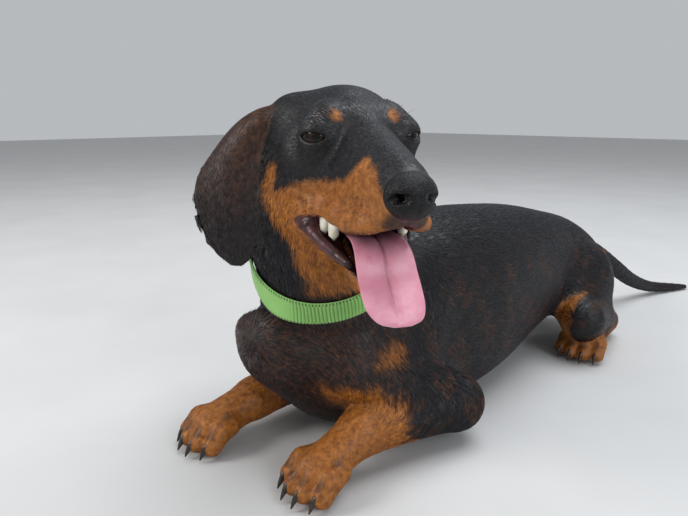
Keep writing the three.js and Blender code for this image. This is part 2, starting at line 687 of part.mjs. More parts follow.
// Legs: each is the whole dog's surface inside a slightly fattened leg, and each paw one inside a fattened paw
const SOCKET = 3;
const limbs = [];
function addLeg(word, legField, pawField, box, pawBox, pawCut, nails) {
  const room = (field, span) => thin(surfaceOf((x, y, z) => field(x, y, z) - SOCKET, span[0], span[1], [7, 8, 7]), 200, 1.1);
  const legRoom = room(legField, box);
  limbs.push(swell(legRoom, ROOM));
  const paws = room(pawField, pawBox);
  const pawRoom = paws.intersect(cut(pawCut, 1));
  const pawRoomWide = swell(paws, ROOM).intersect(halfSpace(pawCut.at, pawCut.way, -GAP / 2));
  const leg = thin(surfaceOf(wholeDog, box[0], box[1], [6.5, 7.5, 6.5]), 520, 1);
  tidy(`${word[0]}leg_${word[1]}`, leg.intersect(legRoom).intersect(aboveFloor).intersect(cut(NECK_BASE, -1)).subtract(pawRoomWide), COAT.black);
  const foot = thin(surfaceOf(wholeDog, pawBox[0], pawBox[1], [3.4, 3.4, 3.4]), 760, 0.6);
  let made = largest(foot.intersect(aboveFloor).intersect(pawRoom));
  for (const { root, tip } of nails) made = made.add(claw(root, tip));
  tidy(`${word[0]}paw_${word[1]}`, made, COAT.tan);
}
function tidy(name, made, color, rooms = []) {
  const cleaned = thin(largest(made), 0, 0.12);
  add(name, largest(rooms.reduce((left, room) => left.subtract(room), cleaned)), color, 0.6);
}
for (const side of [LEFT, RIGHT]) {
  const word = side === LEFT ? "left" : "right";
  const across = (near, far) => [Math.min(side * near, side * far), Math.max(side * near, side * far)];
  const { wrist, knuckles } = FORELEG[side];
  const wristWay = new THREE.Vector3(knuckles[0] - wrist[0], knuckles[1] - wrist[1], 0).normalize();
  const fore = (x, y, z) => join(forelegs[side](x, y, z), forepaws[side](x, y, z), 6);
  const [x0, x1] = across(-4, 100);
  const [p0, p1] = across(12, 100);
  addLeg(["fore", word], fore, forepaws[side],
    [[x0, -252, -8], [x1, -78, 165]],
    [[p0, knuckles[1] - 46, -8], [p1, wrist[1] + 12, 62]],
    { at: wrist, way: wristWay.toArray() }, claws(wrist, knuckles));

  const { hock, knuckles: toes } = HINDLEG;
  const hind = (x, y, z) => join(hindlegs[side](x, y, z), hindpaws[side](x, y, z), 6);
  const [h0, h1] = across(8, 112);
  addLeg(["hind", word], hind, hindpaws[side],
    [[h0, 70, -8], [h1, 230, 130]],
    [[h0, 66, -8], [h1, 205, 45]],
    { at: [side * 62, 160, 18], way: [0, -0.5, -0.87] },
    claws([side * hock[0], hock[1], hock[2]], [side * toes[0], toes[1], toes[2]]));
}

function claw(root, tip) {
  const axis = tip.clone().sub(root);
  const length = axis.length();
  const turn = new THREE.Quaternion().setFromUnitVectors(new THREE.Vector3(0, 1, 0), axis.normalize());
  const middle = root.clone().add(tip).multiplyScalar(0.5);
  const cone = new THREE.CylinderGeometry(0.7, 2.4, length, 6);
  return solid(cone, new THREE.Matrix4().compose(middle, turn, new THREE.Vector3(1, 1, 1)));
}

// Torso and tail
const TAIL_CUT = { at: [2, 244, 85], way: [0.15, 0.92, -0.36] };
let trunkSolid = thin(surfaceOf(wholeDog, [-86, -250, -6], [80, 256, 178], [9, 12, 9]), 800, 1.7)
  .intersect(aboveFloor).intersect(cut(NECK_BASE, -1)).intersect(cut(TAIL_CUT, -1));
for (const room of limbs) trunkSolid = trunkSolid.subtract(room);
tidy("torso", trunkSolid, COAT.black, earRooms);
const tailSolid = thin(surfaceOf(wholeDog, [-24, 228, -6], [76, 470, 108], [4, 6, 4]), 330, 0.9);
tidy("tail", tailSolid.intersect(aboveFloor).intersect(cut(TAIL_CUT, 1)), COAT.black);

// Collar: a band that follows the neck's own section, with its buckle and ring at the nape
const collarUp = new THREE.Vector3(...COLLAR.up).normalize();
const collarAlong = new THREE.Vector3(...COLLAR.along).normalize();
const collarOut = new THREE.Vector3(0, -1, 0).projectOnPlane(collarUp).normalize();
const collarSide = new THREE.Vector3().crossVectors(collarUp, collarOut);
const STEPS = 36;
const neckReach = [];
for (let i = 0; i < STEPS; i++) {
  const angle = (i / STEPS) * 2 * Math.PI;
  const out = collarOut.clone().multiplyScalar(Math.cos(angle)).addScaledVector(collarSide, Math.sin(angle));
  neckReach.push([-0.5, 0, 0.5].map((w) => {
    let r = 20;
    const p = new THREE.Vector3();
    for (let step = 0; step < 200 && r < 90; step++) {
      p.set(...COLLAR.at).addScaledVector(collarAlong, w * COLLAR.width).addScaledVector(out, r);
      const d = Math.max(wholeDog(p.x, p.y, p.z), neck(p.x, p.y, p.z) - 4);
      if (d > -0.01) break;
      r += Math.max(0.05, -d * 0.5);
    }
    return r;
  }));
}
function sleeveRing(inward, outward, tall) {
  const position = [];
  const index = [];
  const rows = [[0, -0.5], [0, 0], [0, 0.5], [1, 0.5], [1, 0], [1, -0.5]];
  for (let i = 0; i < STEPS; i++) {
    const angle = (i / STEPS) * 2 * Math.PI;
    const out = collarOut.clone().multiplyScalar(Math.cos(angle)).addScaledVector(collarSide, Math.sin(angle));
    for (const [layer, w] of rows) {
      const around = [-1, 0, 1].map((o) => neckReach[(i + o + STEPS) % STEPS][2 * w + 1]);
      const r = (around[0] + 2 * around[1] + around[2]) / 4 + (layer ? outward : inward);
      const p = new THREE.Vector3(...COLLAR.at).addScaledVector(collarAlong, w * tall).addScaledVector(out, r);
      position.push(...p.toArray());
    }
  }
  const n = rows.length;
  for (let i = 0; i < STEPS; i++)
    for (let j = 0; j < n; j++) {
      const a = i * n + j;
      const b = ((i + 1) % STEPS) * n + j;
      const c = ((i + 1) % STEPS) * n + ((j + 1) % n);
      const d = i * n + ((j + 1) % n);
      index.push(a, c, b, a, d, c);
    }
  const geometry = new THREE.BufferGeometry();
  geometry.setAttribute("position", new THREE.BufferAttribute(new Float32Array(position), 3));
  geometry.setIndex(index);
  if (solid(geometry).volume() < 0) geometry.setIndex(index.reverse());
  return solid(geometry);
}
const collarBand = sleeveRing(1, 1 + COLLAR.thick, COLLAR.width);
const collarRoom = sleeveRing(1 - GAP, 24, COLLAR.width + 2 * GAP);
add("collar_band", collarBand, "#79ab4a", 0.7);
const napeAngle = Math.PI * 1.22;
const nape = collarOut.clone().multiplyScalar(Math.cos(napeAngle)).addScaledVector(collarSide, Math.sin(napeAngle));
const napeReach = neckReach[Math.round((napeAngle / 2 / Math.PI) * STEPS)][1] + 1 + COLLAR.thick;
function napePlace(reach, aside) {
  const x = new THREE.Vector3().crossVectors(nape, collarAlong).normalize();
  const m = new THREE.Matrix4().makeBasis(x, nape, new THREE.Vector3().crossVectors(x, nape));
  const p = new THREE.Vector3(...COLLAR.at).addScaledVector(nape, reach).addScaledVector(x, aside);
  return m.setPosition(p);
}
const bandRoom = sleeveRing(-4, 1 + COLLAR.thick + GAP, COLLAR.width + 2 * GAP);
const buckle = largest(solid(new THREE.BoxGeometry(34, 9, 20, 4, 1, 1), napePlace(napeReach + 3, 0)).subtract(bandRoom));
add("collar_buckle", buckle, "#1b1c1e", 0.4);
const ring = solid(new THREE.TorusGeometry(8, 1.3, 5, 14), napePlace(napeReach + 4.2, 28.5));
add("collar_ring", ring, "#a9adb2", 0.25, 1);

// Neck
const neckSolid = thin(surfaceOf(wholeDog, [-86, -262, 60], [75, -90, 245], [7, 7, 7]), 540, 1)
  .intersect(cut(NECK_BASE, 1)).intersect(cut(HEAD_BASE, -1));
const neckBare = neckSolid.subtract(collarRoom).subtract(swell(buckle, ROOM));
tidy("neck", neckBare, COAT.black, earRooms);

// Head, jaw and nose
const JAW_LINE = { at: headPoint(MOUTH_CORNER[0], 0, -49.5), way: headWay(0.14, 0, 0.99) };
const wholeInHead = inFrame(headFrame.clone().invert(), wholeDog);
const headSurface = thin(toWorld(surfaceOf(wholeInHead, [-98, -52, -112], [97, 52, 42], [3.3, 3, 3])), 5000, 0.5).intersect(cut(HEAD_BASE, 1));
const eyeBalls = pair((s) => toWorld(solid(new THREE.SphereGeometry(EYE.radius, 14, 9).translate(EYE.back, s * EYE.out, EYE.up))));
const eyeSockets = pair((s) => toWorld(solid(new THREE.SphereGeometry(EYE.radius + GAP * 1.2, 14, 9).translate(EYE.back, s * EYE.out, EYE.up))));
const nosePad = toWorld(surfaceOf((x, y, z) => Math.max(nose(x, y, z) - 0.8, 73.5 - x - (z + 25) * 0.1), [66, -20, -44], [98, 20, -6], [4, 4, 4]));
const noseSurface = thin(toWorld(surfaceOf(wholeInHead, [64, -21, -48], [97, 21, -4], [1.9, 1.9, 1.9])), 560, 0.4);
add("nose", largest(thin(largest(noseSurface.intersect(nosePad)), 0, 0.05)), "#1c1a1c", 0.35);
const upperTeeth = pair((s) => [
  [62, 9, -42, 3, 6], [40, 15, -46, 3, 7.5], [28, 18, -46, 3.8, 9.5], [14, 21.5, -45, 6.2, 14.5], [1.5, 23.5, -45, 5.4, 12.5],
].map(([f, l, u, r, h]) => tooth([f, s * l, u], r, h, -1)));
const lowerTeeth = pair((s) => [
  [41, 11.5, -36, 2.8, 4], [31, 13, -36, 3.2, 4], [20, 15, -35, 3.6, 4],
].map(([f, l, u, r, h]) => tooth([f, s * l, u], r, h, 1)));
function tooth([f, l, u], radius, height, way) {
  const cone = new THREE.CylinderGeometry(0.5, radius, height, 6).rotateX(Math.PI / 2);
  if (way < 0) cone.rotateX(Math.PI);
  return cone.translate(f, l, u + (way * height) / 2 - way * 3);
}
const tongueRun = through([[0, -12], [0.2, 10], [0.38, 30], [0.5, 41], [0.66, 49], [0.8, 57], [0.93, 62.5], [1, 64]]);
const tongueRise = through([[0, -60], [0.2, -58], [0.38, -58.5], [0.5, -64], [0.66, -77], [0.8, -88], [0.93, -96], [1, -99]]);
const tongueWide = through([[0, 13], [0.4, 16], [0.6, 17.5], [0.8, 17.5], [0.9, 15], [0.96, 11], [1, 5]]);
const tongueLean = through([[0, 0], [0.5, 0], [0.8, 1.5], [1, 4]]);
const tongueAt = (s, t) => {
  const groove = 1.6 * Math.exp(-((t / 0.16) ** 2)) * Math.min(1, (1 - s) * 6);
  const curl = 1.8 * t * t * Math.min(1, (1 - s) * 3);
  return new THREE.Vector3(tongueRun(s) + curl * 0.6, tongueLean(s) + tongueWide(s) * t, tongueRise(s) + curl - groove);
};
const tongueHalf = (s, t) => (TONGUE.thick / 2) * (1 - 0.55 * t * t) * (s > 0.85 ? 1 - 0.5 * (s - 0.85) / 0.15 : 1);
const tongue = toWorld(sheet(tongueAt, tongueHalf, 14, 8));
const tongueRoom = swell(tongue, ROOM);
let headSolid = headSurface.intersect(cut(JAW_LINE, 1));
for (const socket of eyeSockets) headSolid = headSolid.subtract(socket);
headSolid = largest(headSolid.subtract(swell(nosePad, ROOM)));
for (const geometry of upperTeeth.flat()) headSolid = headSolid.add(toWorld(solid(geometry)));
headSolid = largest(headSolid.subtract(tongueRoom));
tidy("head", headSolid, COAT.black, earRooms);
add("eye_left", eyeBalls[0], "#2a160c", 0.08);
add("eye_right", eyeBalls[1], "#2a160c", 0.08);
let jawSolid = largest(headSurface.intersect(cut(JAW_LINE, -1)));
for (const geometry of lowerTeeth.flat()) jawSolid = jawSolid.add(toWorld(solid(geometry, jawTurn)));
jawSolid = largest(jawSolid.subtract(tongueRoom));
tidy("jaw", jawSolid, COAT.tan, earRooms);
add("tongue", tongue, "#d98a94", 0.35);

for (const [word, made] of earSolids) add(`ear_${word}`, made, COAT.black, 0.6);

// The origin goes to the floor under the middle of the box
const box = new THREE.Box3().setFromObject(group);
const middle = box.getCenter(new THREE.Vector3());
for (const mesh of group.children) mesh.geometry.translate(-middle.x, -middle.y, -box.min.z);

export default group;
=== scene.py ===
"""A smooth-haired black and tan dachshund at life size, lying with its head up and its tongue out."""

import math

import bpy
import numpy as np
from mathutils import Euler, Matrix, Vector
from mathutils.bvhtree import BVHTree


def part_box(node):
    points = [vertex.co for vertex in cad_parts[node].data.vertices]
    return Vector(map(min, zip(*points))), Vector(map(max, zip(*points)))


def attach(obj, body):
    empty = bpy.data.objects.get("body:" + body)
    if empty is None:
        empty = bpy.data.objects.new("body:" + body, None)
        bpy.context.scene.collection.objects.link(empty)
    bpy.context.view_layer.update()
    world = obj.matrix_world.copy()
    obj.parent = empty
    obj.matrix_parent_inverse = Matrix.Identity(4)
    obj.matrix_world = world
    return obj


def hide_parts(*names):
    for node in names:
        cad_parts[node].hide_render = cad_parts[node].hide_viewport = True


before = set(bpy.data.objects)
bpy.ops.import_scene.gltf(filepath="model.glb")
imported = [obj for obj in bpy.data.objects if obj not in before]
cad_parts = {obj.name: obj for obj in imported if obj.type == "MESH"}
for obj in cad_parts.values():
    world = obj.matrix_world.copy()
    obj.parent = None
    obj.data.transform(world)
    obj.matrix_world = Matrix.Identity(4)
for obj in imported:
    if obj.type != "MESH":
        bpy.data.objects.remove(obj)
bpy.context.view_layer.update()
rng = np.random.default_rng(11)

# Sizes in millimetres, in the dog's frame: Z up, chest to -Y, the dog's left side to +X
LEFT, RIGHT = 1, -1
EYES_AT = np.array([50, -205, 232.0])
HEAD_TURN = 60.7
JAW_OPEN = 24
JAW_HINGE = np.array([-50, 0, -25.0])
EYE_BACK, EYE_OUT, EYE_UP, EYE_RADIUS = -1.5, 26, 0, 10.3
EAR_THICK = 3.4
TONGUE_THICK = 6.4
COLLAR_WIDTH, COLLAR_THICK = 15, 2
COLLAR_AT = np.array([-4, -183, 153.0])
COLLAR_GAP = 0.25
COLLAR_PROBES = 36
RIBS_AT, RIB_PITCH, STITCH_PITCH = 1.35, 2.35, 2.2
NAPE_TURN, RING_RADIUS = 0.61, 8
COAT_TUFTS = 235000
SKIN_CELL = 3.3
LENS, CAMERA_FROM_EYES, CAMERA_PITCH = 31.4, [253.31, -267.73, 13], 13.5

turn = math.radians(HEAD_TURN - 90)
HEAD_AXES = np.array([
    [math.cos(turn), math.sin(turn), 0],
    [-math.sin(turn), math.cos(turn), 0],
    [0, 0, 1],
])


def from_head(q):
    """Dog's frame from the head's frame: forward, left, up from the middle between the eyes."""
    return np.asarray(q, float) @ HEAD_AXES + EYES_AT


def to_head(p):
    return (p - EYES_AT) @ HEAD_AXES.T


def middle_of(node):
    low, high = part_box(node)
    return (np.array(low) + np.array(high)) / 2


# Where the dog's frame lies in the row's frame, read from the two eyes
SHIFT = (middle_of("eye_left") + middle_of("eye_right")) * 500 - from_head([EYE_BACK, 0, EYE_UP])


def to_row(p):
    return (np.asarray(p, float) + SHIFT) / 1000


# Fields: functions of points that are negative inside a form and close to a distance


def join(a, b, k):
    h = np.maximum(k - np.abs(a - b), 0) / k
    return np.minimum(a, b) - h * h * k / 4


def carve(a, b, k):
    return -join(-a, b, k)


def ball(at, r):
    return lambda p: np.linalg.norm(p - at, axis=1) - r


def egg(at, size, turned=(0, 0, 0)):
    axes = np.array(Euler([math.radians(t) for t in turned], "XYZ").to_matrix())
    size = np.array(size, float)

    def field(p):
        q = (p - at) @ axes
        near = np.linalg.norm(q / size, axis=1)
        steep = np.maximum(np.linalg.norm(q / size**2, axis=1), 1e-9)
        return near * (near - 1) / steep

    return field


def limb(points, k=6):
    points = np.array(points, float)

    def field(p):
        d = np.full(len(p), 1e9)
        for a, b in zip(points[:-1], points[1:]):
            way = b[:3] - a[:3]
            t = np.clip((p - a[:3]) @ way / (way @ way), 0, 1)
            gap = np.linalg.norm(p - a[:3] - t[:, None] * way, axis=1)
            d = join(d, gap - a[3] - t * (b[3] - a[3]), k)
        return d

    return field


def through(pairs):
    """A smooth curve through pairs of place and value, level past its ends."""
    t, v = np.array(pairs, float).T
    n = np.arange(len(t))
    before, after = np.maximum(n - 1, 0), np.minimum(n + 1, len(t) - 1)
    slope = (v[after] - v[before]) / (t[after] - t[before])

    def curve(x):
        x = np.clip(x, t[0], t[-1])
        i = np.clip(np.searchsorted(t, x), 1, len(t) - 1)
        w = t[i] - t[i - 1]
        s = (x - t[i - 1]) / w
        rise = v[i - 1] * (1 + 2 * s) * (1 - s) ** 2 + v[i] * s * s * (3 - 2 * s)
        return rise + w * s * (1 - s) * (slope[i - 1] * (1 - s) - slope[i] * s)

    return curve


def trunk(stations, square=2.0):
    """Stations are along, height of the widest place, half width, rise and drop."""
    stations = np.array(stations, float)
    wide, half, rise, drop = [through(stations[:, [0, c]]) for c in (1, 2, 3, 4)]

    def field(p):
        along, across = p[:, 0], p[:, 1]
        w = half(along)
        u = p[:, 2] - wide(along)
        h = np.where(u > 0, rise(along), drop(along))
        near = (np.abs(across / w) ** square + np.abs(u / h) ** square) ** (1 / square)
        steep = np.sqrt((across / w**2) ** 2 + (u / h**2) ** 2)
        d = near * (near - 1) / np.maximum(steep, 1e-6)
        return np.maximum(d, np.maximum(stations[0, 0] - along, along - stations[-1, 0]))

    return field


def within(field, low, high, far=70.0):
    """The same field, worked out only inside a roomy box."""

    def boxed(p):
        inside = ((p > low) & (p < high)).all(1)
        d = np.full(len(p), far)
        if inside.any():
            d[inside] = field(p[inside])
        return d

    return boxed


def smooth_step(x):
    x = np.clip(x, 0, 1)
    return x * x * (3 - 2 * x)


def bell(x, wide):
    """1 at nought, falling to nothing on both sides."""
    return np.exp(-((x / wide) ** 2))


def unit(v):
    return v / np.maximum(np.linalg.norm(v, axis=-1, keepdims=True), 1e-6)


def along_surface(v, normal):
    """Ways laid flat on the surface, at length one."""
    return unit(v - (v * normal).sum(-1, keepdims=True) * normal)


# Body

straight_torso = trunk([
    [-246, 90, 8, 8, 8],
    [-238, 90, 27, 20, 28],
    [-216, 84, 43, 17, 42],
    [-186, 88, 54, 24, 73],
    [-150, 94, 59, 50, 89],
    [-110, 94, 62, 71, 94],
    [-55, 91, 62, 77, 92],
    [0, 91, 61, 74, 86],
    [55, 92, 56, 67, 70],
    [110, 88, 51, 60, 56],
    [160, 82, 48, 54, 48],
    [200, 78, 42, 40, 42],
    [222, 76, 29, 27, 30],
    [232, 76, 8, 8, 8],
], 2.15)
chest_bend = through([[-185, -17], [-120, -10], [-40, 0]])


def torso(p):
    return straight_torso(np.stack([p[:, 1], p[:, 0] - chest_bend(p[:, 1]), p[:, 2]], 1))


neck = limb([
    [-14, -160, 108, 51],
    [-8, -178, 130, 48],
    [-4, -184, 148, 44.5],
    [-7, -186, 176, 48.5],
    [-7, -184, 204, 48],
], 18)

FORELEG = {
    LEFT: ((62, -112, 30), (44, -197, 31), (41, -231, 17)),
    RIGHT: ((-62, -114, 30), (-58, -212, 26), (-60, -247, 17)),
}
KNEE, HOCK, HIND_KNUCKLES = (66, 104, 44), (56, 194, 20), (64, 118, 15)
PAW_WIDTH, TOE, REACH, CLAW = 43, 8.2, 27, 7.5
lean = float(chest_bend(-190)) * 0.9
blades, arms, forearms, thighs, calves, forepaws, hindpaws, toe_lines = {}, {}, {}, {}, {}, {}, {}, {}


def toes_of(start, knuckles):
    """Root and tip of each of four toes, and the way that they point."""
    way = unit(np.array([knuckles[0] - start[0], knuckles[1] - start[1], 0.0]))
    across = np.array([way[1], -way[0], 0])
    lines = []
    for place in (-1.5, -0.5, 0.5, 1.5):
        inner = 1 - (abs(place) - 0.5) * 0.28
        spread = place * PAW_WIDTH / 4.15
        root = knuckles + across * spread * 0.85 - way * (1 - inner) * 12
        tip = knuckles + across * spread * 1.12 + way * REACH * 0.72 * inner
        lines.append((root, tip, way))
    return lines


def paw(start, radius, knuckles):
    palm = limb([[*start, radius], [*knuckles[:2], knuckles[2] + 1, 14.5]])
    toes = []
    for root, tip, way in toes_of(start, knuckles):
        half = (root + tip) / 2
        toes.append(limb([[*root[:2], 18, TOE], [*half[:2], 17.5, TOE], [*tip[:2], 9.5, 7.4]], 3))

    def field(p):
        fan = np.full(len(p), 1e9)
        for toe in toes:
            fan = join(fan, toe(p), 1.6)
        return join(palm(p), fan, 6)

    low = np.minimum(start, knuckles) - 75
    high = np.maximum(start, knuckles) + 75
    return within(field, low, high)


for side in (LEFT, RIGHT):
    elbow, wrist, knuckles = FORELEG[side]
    blades[side] = egg([side * 45 + lean * 0.6, -142, 102], [20, 40, 48], [-20, 0, 0])
    arms[side] = limb([[side * 42 + lean, -188, 72, 25.5], [*elbow, 21]])
    forearms[side] = limb([[*elbow, 20], [*wrist, 16.5]])
    forepaws[side] = paw(np.array(wrist, float), 15.5, np.array(knuckles, float))
    thighs[side] = egg([side * 45, 148, 64], [27, 52, 47], [-24, 0, 0])
    knee, hock = [np.array([side, 1, 1]) * spot for spot in (KNEE, HOCK)]
    calves[side] = limb([[*knee, 22], [side * 60, 150, 30, 17], [*hock, 12]])
    toes = np.array([side, 1, 1.0]) * HIND_KNUCKLES
    hindpaws[side] = paw(hock - [0, 2, 5.0], 11.5, toes)
    toe_lines["fore", side] = toes_of(np.array(wrist, float), np.array(knuckles, float))
    toe_lines["hind", side] = toes_of(hock.astype(float), toes)

TAIL_PATH = np.array([
    [0, 200, 96, 17],
    [2, 236, 88, 13.4],
    [8, 270, 74, 11.6],
    [16, 310, 52, 10],
    [24, 352, 28, 8.5],
    [34, 395, 12, 7],
    [48, 430, 6.5, 5.6],
    [62, 460, 3.8, 3.2],
])
tail_steps = np.linspace(200, 460, 22)
tail_side, tail_up, tail_radius = [through(TAIL_PATH[:, [1, c]])(tail_steps) for c in (0, 2, 3)]
tail = limb(np.stack([tail_side, tail_steps, tail_up, tail_radius], 1), 2)
tail = within(tail, [-24, 175, -6], [90, 475, 122])


def foreleg(p, side):
    return join(join(blades[side](p), arms[side](p), 16), forearms[side](p), 10)


def hindleg(p, side):
    return join(thighs[side](p), calves[side](p), 18)


def paws(p):
    return np.min([fields[side](p) for fields in (forepaws, hindpaws) for side in (LEFT, RIGHT)], axis=0)


# Head, in its own frame

muzzle = trunk([
    [-20, -18, 30, 30, 34],
    [5, -24, 26, 30, 27],
    [22, -27, 22.5, 30, 23],
    [45, -29, 19, 27, 19.5],
    [64, -29, 16.5, 20, 17],
    [76, -29, 13.5, 16, 12.5],
    [85, -28, 7, 8, 7],
], 2.3)
mandible = trunk([
    [-56, -34, 22, 12, 22],
    [-20, -38, 26, 9, 20],
    [10, -40, 21, 5, 15.5],
    [36, -41, 16, 4.5, 10],
    [54, -42, 13, 5, 8.5],
    [63, -43, 9, 5, 7],
    [69, -43, 3, 3, 3],
], 2.3)
skull = egg([-42, 0, -3], [50, 38, 34.8])
bridge = limb([[-4, 0, 6, 13], [22, 0, -6, 11.5], [74, 0, -19, 9]], 6)
nose_ball = egg([80, 0, -25.5], [12.4, 13.6, 12.4])
jaw_bed = egg([26, 0, -33], [54, 11.5, 9.5])
mouth_roof = egg([24, 0, -50], [60, 13.5, 12])
mouth_side = limb([[-8, -60, -50.5, 2.6], [-8, 60, -50.5, 2.6]])


def pair(make):
    fields = [make(LEFT), make(RIGHT)]
    return lambda p: np.minimum(fields[0](p), fields[1](p))


brows = pair(lambda s: egg([-6, s * 19, 9], [14, 11, 11.5]))
cheekbones = pair(lambda s: egg([-20, s * 27, -9], [26, 14.5, 15], [0, 0, s * 14]))
cheeks = pair(lambda s: egg([-36, s * 22, -32], [27, 17, 27]))
lips = pair(lambda s: limb([
    [72, s * 6.5, -38, 5],
    [56, s * 14.5, -44, 6],
    [38, s * 17, -46, 6.3],
    [20, s * 19.5, -44.5, 6.3],
    [-2, s * 25, -43.5, 6],
    [-18, s * 29, -46.5, 5],
], 6))
ear_base_left, ear_base_right = egg([-58, 31, 2], [18, 13, 15]), egg([-53, -31, 9.5], [21, 16, 16.5])
eye_rooms = pair(lambda s: egg([1, s * 38, -1], [13, 9, 8], [0, 0, s * -30]))
lids = pair(lambda s: ball([EYE_BACK, s * EYE_OUT, EYE_UP], EYE_RADIUS + 2.1))


def slit_arcs(height, tall):
    """Eggs whose overlap with a second pair is the almond gap between the lids."""
    middle = [EYE_BACK + 8.5, EYE_OUT + 6.5, EYE_UP + height]
    return pair(lambda s: egg(middle * np.array([1, s, 1]), [12.5, 10, tall], [0, 11, s * 32]))


slit_tops, slit_floors = slit_arcs(-4.6, 6.9), slit_arcs(3.4, 6.2)
nostrils = pair(lambda s: limb([
    [91.5, s * 5.8, -25.5, 2.4],
    [87, s * 9.8, -26, 2.1],
    [82, s * 13.4, -28.5, 1.2],
], 2))
nostril_roots = pair(lambda s: ball([85, s * 6, -25.5], 2))
lip_rolls = pair(lambda s: limb([
    [-9, s * 31 - 1, -51.5, 3.2],
    [-1, s * 28.5 - 1.5, -58, 3.8],
    [10, s * 24.5 - 1.5, -63, 4],
    [26, s * 20 - 1.5, -67, 3.8],
    [38, s * 17 - 1.5, -69.5, 2.8],
], 1.5))
lower_lips = pair(lambda s: limb([
    [63, s * 5, -39.5, 3.4],
    [42, s * 12.5, -38.5, 3.6],
    [16, s * 18, -37, 4],
    [-11, s * 25, -35, 4.6],
], 5))


def nose_holes(d, q):
    return carve(carve(d, nostrils(q), 1.5), nostril_roots(q), 1.5)


def nose_leather(q):
    rear = q[:, 0] - 72.8 + (q[:, 2] + 25) * 0.1
    return nose_holes(-join(-(nose_ball(q) - 0.05), rear, 1.5), q)


def lid_gaps(q):
    return np.maximum(slit_tops(q), slit_floors(q))


def ear_bases(q):
    return np.minimum(ear_base_left(q), ear_base_right(q))


def upper_head(q):
    d = skull(q)
    for form, k in ((brows, 10), (cheekbones, 14), (cheeks, 16), (muzzle, 12), (bridge, 8), (lips, 5)):
        d = join(d, form(q), k)
    d = join(d, ear_bases(q), 12)
    d = carve(d, eye_rooms(q), 18)
    d = join(d, lids(q), 8)
    d = carve(d, lid_gaps(q), 1.5)
    d = join(d, nose_ball(q), 2.5)
    return nose_holes(d, q)


def jaw_turned(q, degrees):
    a = math.radians(degrees)
    r = np.asarray(q, float) - JAW_HINGE
    x = r[..., 0] * math.cos(a) - r[..., 2] * math.sin(a)
    z = r[..., 0] * math.sin(a) + r[..., 2] * math.cos(a)
    return np.stack([x, r[..., 1], z], -1) + JAW_HINGE


def shut_jaw(q):
    """The head's frame turned with the lowered jaw."""
    return jaw_turned(q, JAW_OPEN)


def opened(q):
    """The other way: a place on the closed jaw, moved with it as it opens."""
    return jaw_turned(q, -JAW_OPEN)


def lower_jaw(q):
    return carve(join(mandible(q), lower_lips(q), 4), jaw_bed(q), 4)


def mouth_wedge(q):
    under = q[:, 2] + 47 + 4.5 * bell(q[:, 0] - 38, 20)
    over = -(q[:, 2] + 50 + (q[:, 0] + 19) * 0.48)
    return np.maximum(np.maximum(under, over), -8 - q[:, 0])


def head_and_jaw(q):
    d = join(upper_head(q), lower_jaw(shut_jaw(q)), 10)
    d = carve(d, mouth_wedge(q), 2.5)
    d = carve(d, mouth_side(q), 2.5)
    d = carve(d, mouth_roof(q), 3)
    return join(d, lip_rolls(q), 2.5)


HEAD_ROOM = 150
head = within(lambda p: head_and_jaw(to_head(p)), EYES_AT - HEAD_ROOM, EYES_AT + HEAD_ROOM)


def whole_dog(p):
    d = join(torso(p), neck(p), 22)
    d = join(d, head(p), 16)
    d = join(d, tail(p), 14)
    for side in (LEFT, RIGHT):
        d = join(d, join(foreleg(p, side), forepaws[side](p), 6), 12)
        d = join(d, join(hindleg(p, side), hindpaws[side](p), 6), 12)
    return d


# Ears and tongue: closed sheets over a path from the root to the tip

EARS = {
    "right": dict(
        side=-1,
        forward=through([[0, -56], [0.2, -57], [0.5, -56.5], [0.8, -46.5], [1, -42]]),
        out=through([[0, 30], [0.1, 44], [0.25, 61], [0.5, 75], [0.75, 76], [1, 73]]),
        up=through([[0, 12], [0.1, 15.5], [0.25, 2.5], [0.5, -28], [0.75, -60], [1, -86]]),
        turn=through([[0, 10], [0.25, 44], [0.5, 56], [1, 60]]),
    ),
    "left": dict(
        side=1,
        forward=through([[0, -56], [0.2, -60], [0.5, -66], [1, -72]]),
        out=through([[0, 28], [0.1, 40], [0.25, 46.5], [0.5, 51], [0.75, 55], [1, 57]]),
        up=through([[0, 8], [0.1, 9], [0.25, -3], [0.5, -27], [0.75, -53], [1, -78]]),
        turn=through([[0, 0], [0.25, 5], [1, 8]]),
    ),
}
ear_wide = through([
    [0, 15],
    [0.15, 14],
    [0.35, 18],
    [0.5, 25],
    [0.65, 28.5],
    [0.8, 25.5],
    [0.93, 16],
    [1, 4],
])
ear_cup = through([[0, 1], [0.2, 5], [0.6, 7], [1, 2]])


def ear_place(ear):
    def place(s, t):
        a = np.radians(ear["turn"](s))
        w = ear_wide(s) * t
        cup = ear_cup(s) * (1 - t * t)
        f = ear["forward"](s) - np.cos(a) * w + np.sin(a) * cup
        out = ear["out"](s) + np.sin(a) * w + np.cos(a) * cup
        return from_head(np.stack([f, ear["side"] * out, ear["up"](s)], -1))

    return place


def ear_half(s, t):
    return EAR_THICK / 2 * np.sqrt(np.maximum(1 - t * t, 0)) * (1 + 0.8 * (1 - s) ** 3)


def quads_between(rows, around, closed=False):
    """Quads between rows of points that each run round a loop. Closed joins the last row to the first."""
    i, j = np.meshgrid(np.arange(rows if closed else rows - 1), np.arange(around), indexing="ij")
    k = (j + 1) % around
    row, after = i * around, (i + 1) % rows * around
    return np.stack([row + j, row + k, after + k, after + j], -1).reshape(-1, 4)


def tube_faces(rings, around):
    """Faces of a tube from its first ring to its last, with both ends closed."""
    ends = [list(range(around))[::-1], [(rings - 1) * around + j for j in range(around)]]
    return quads_between(rings, around).tolist() + ends


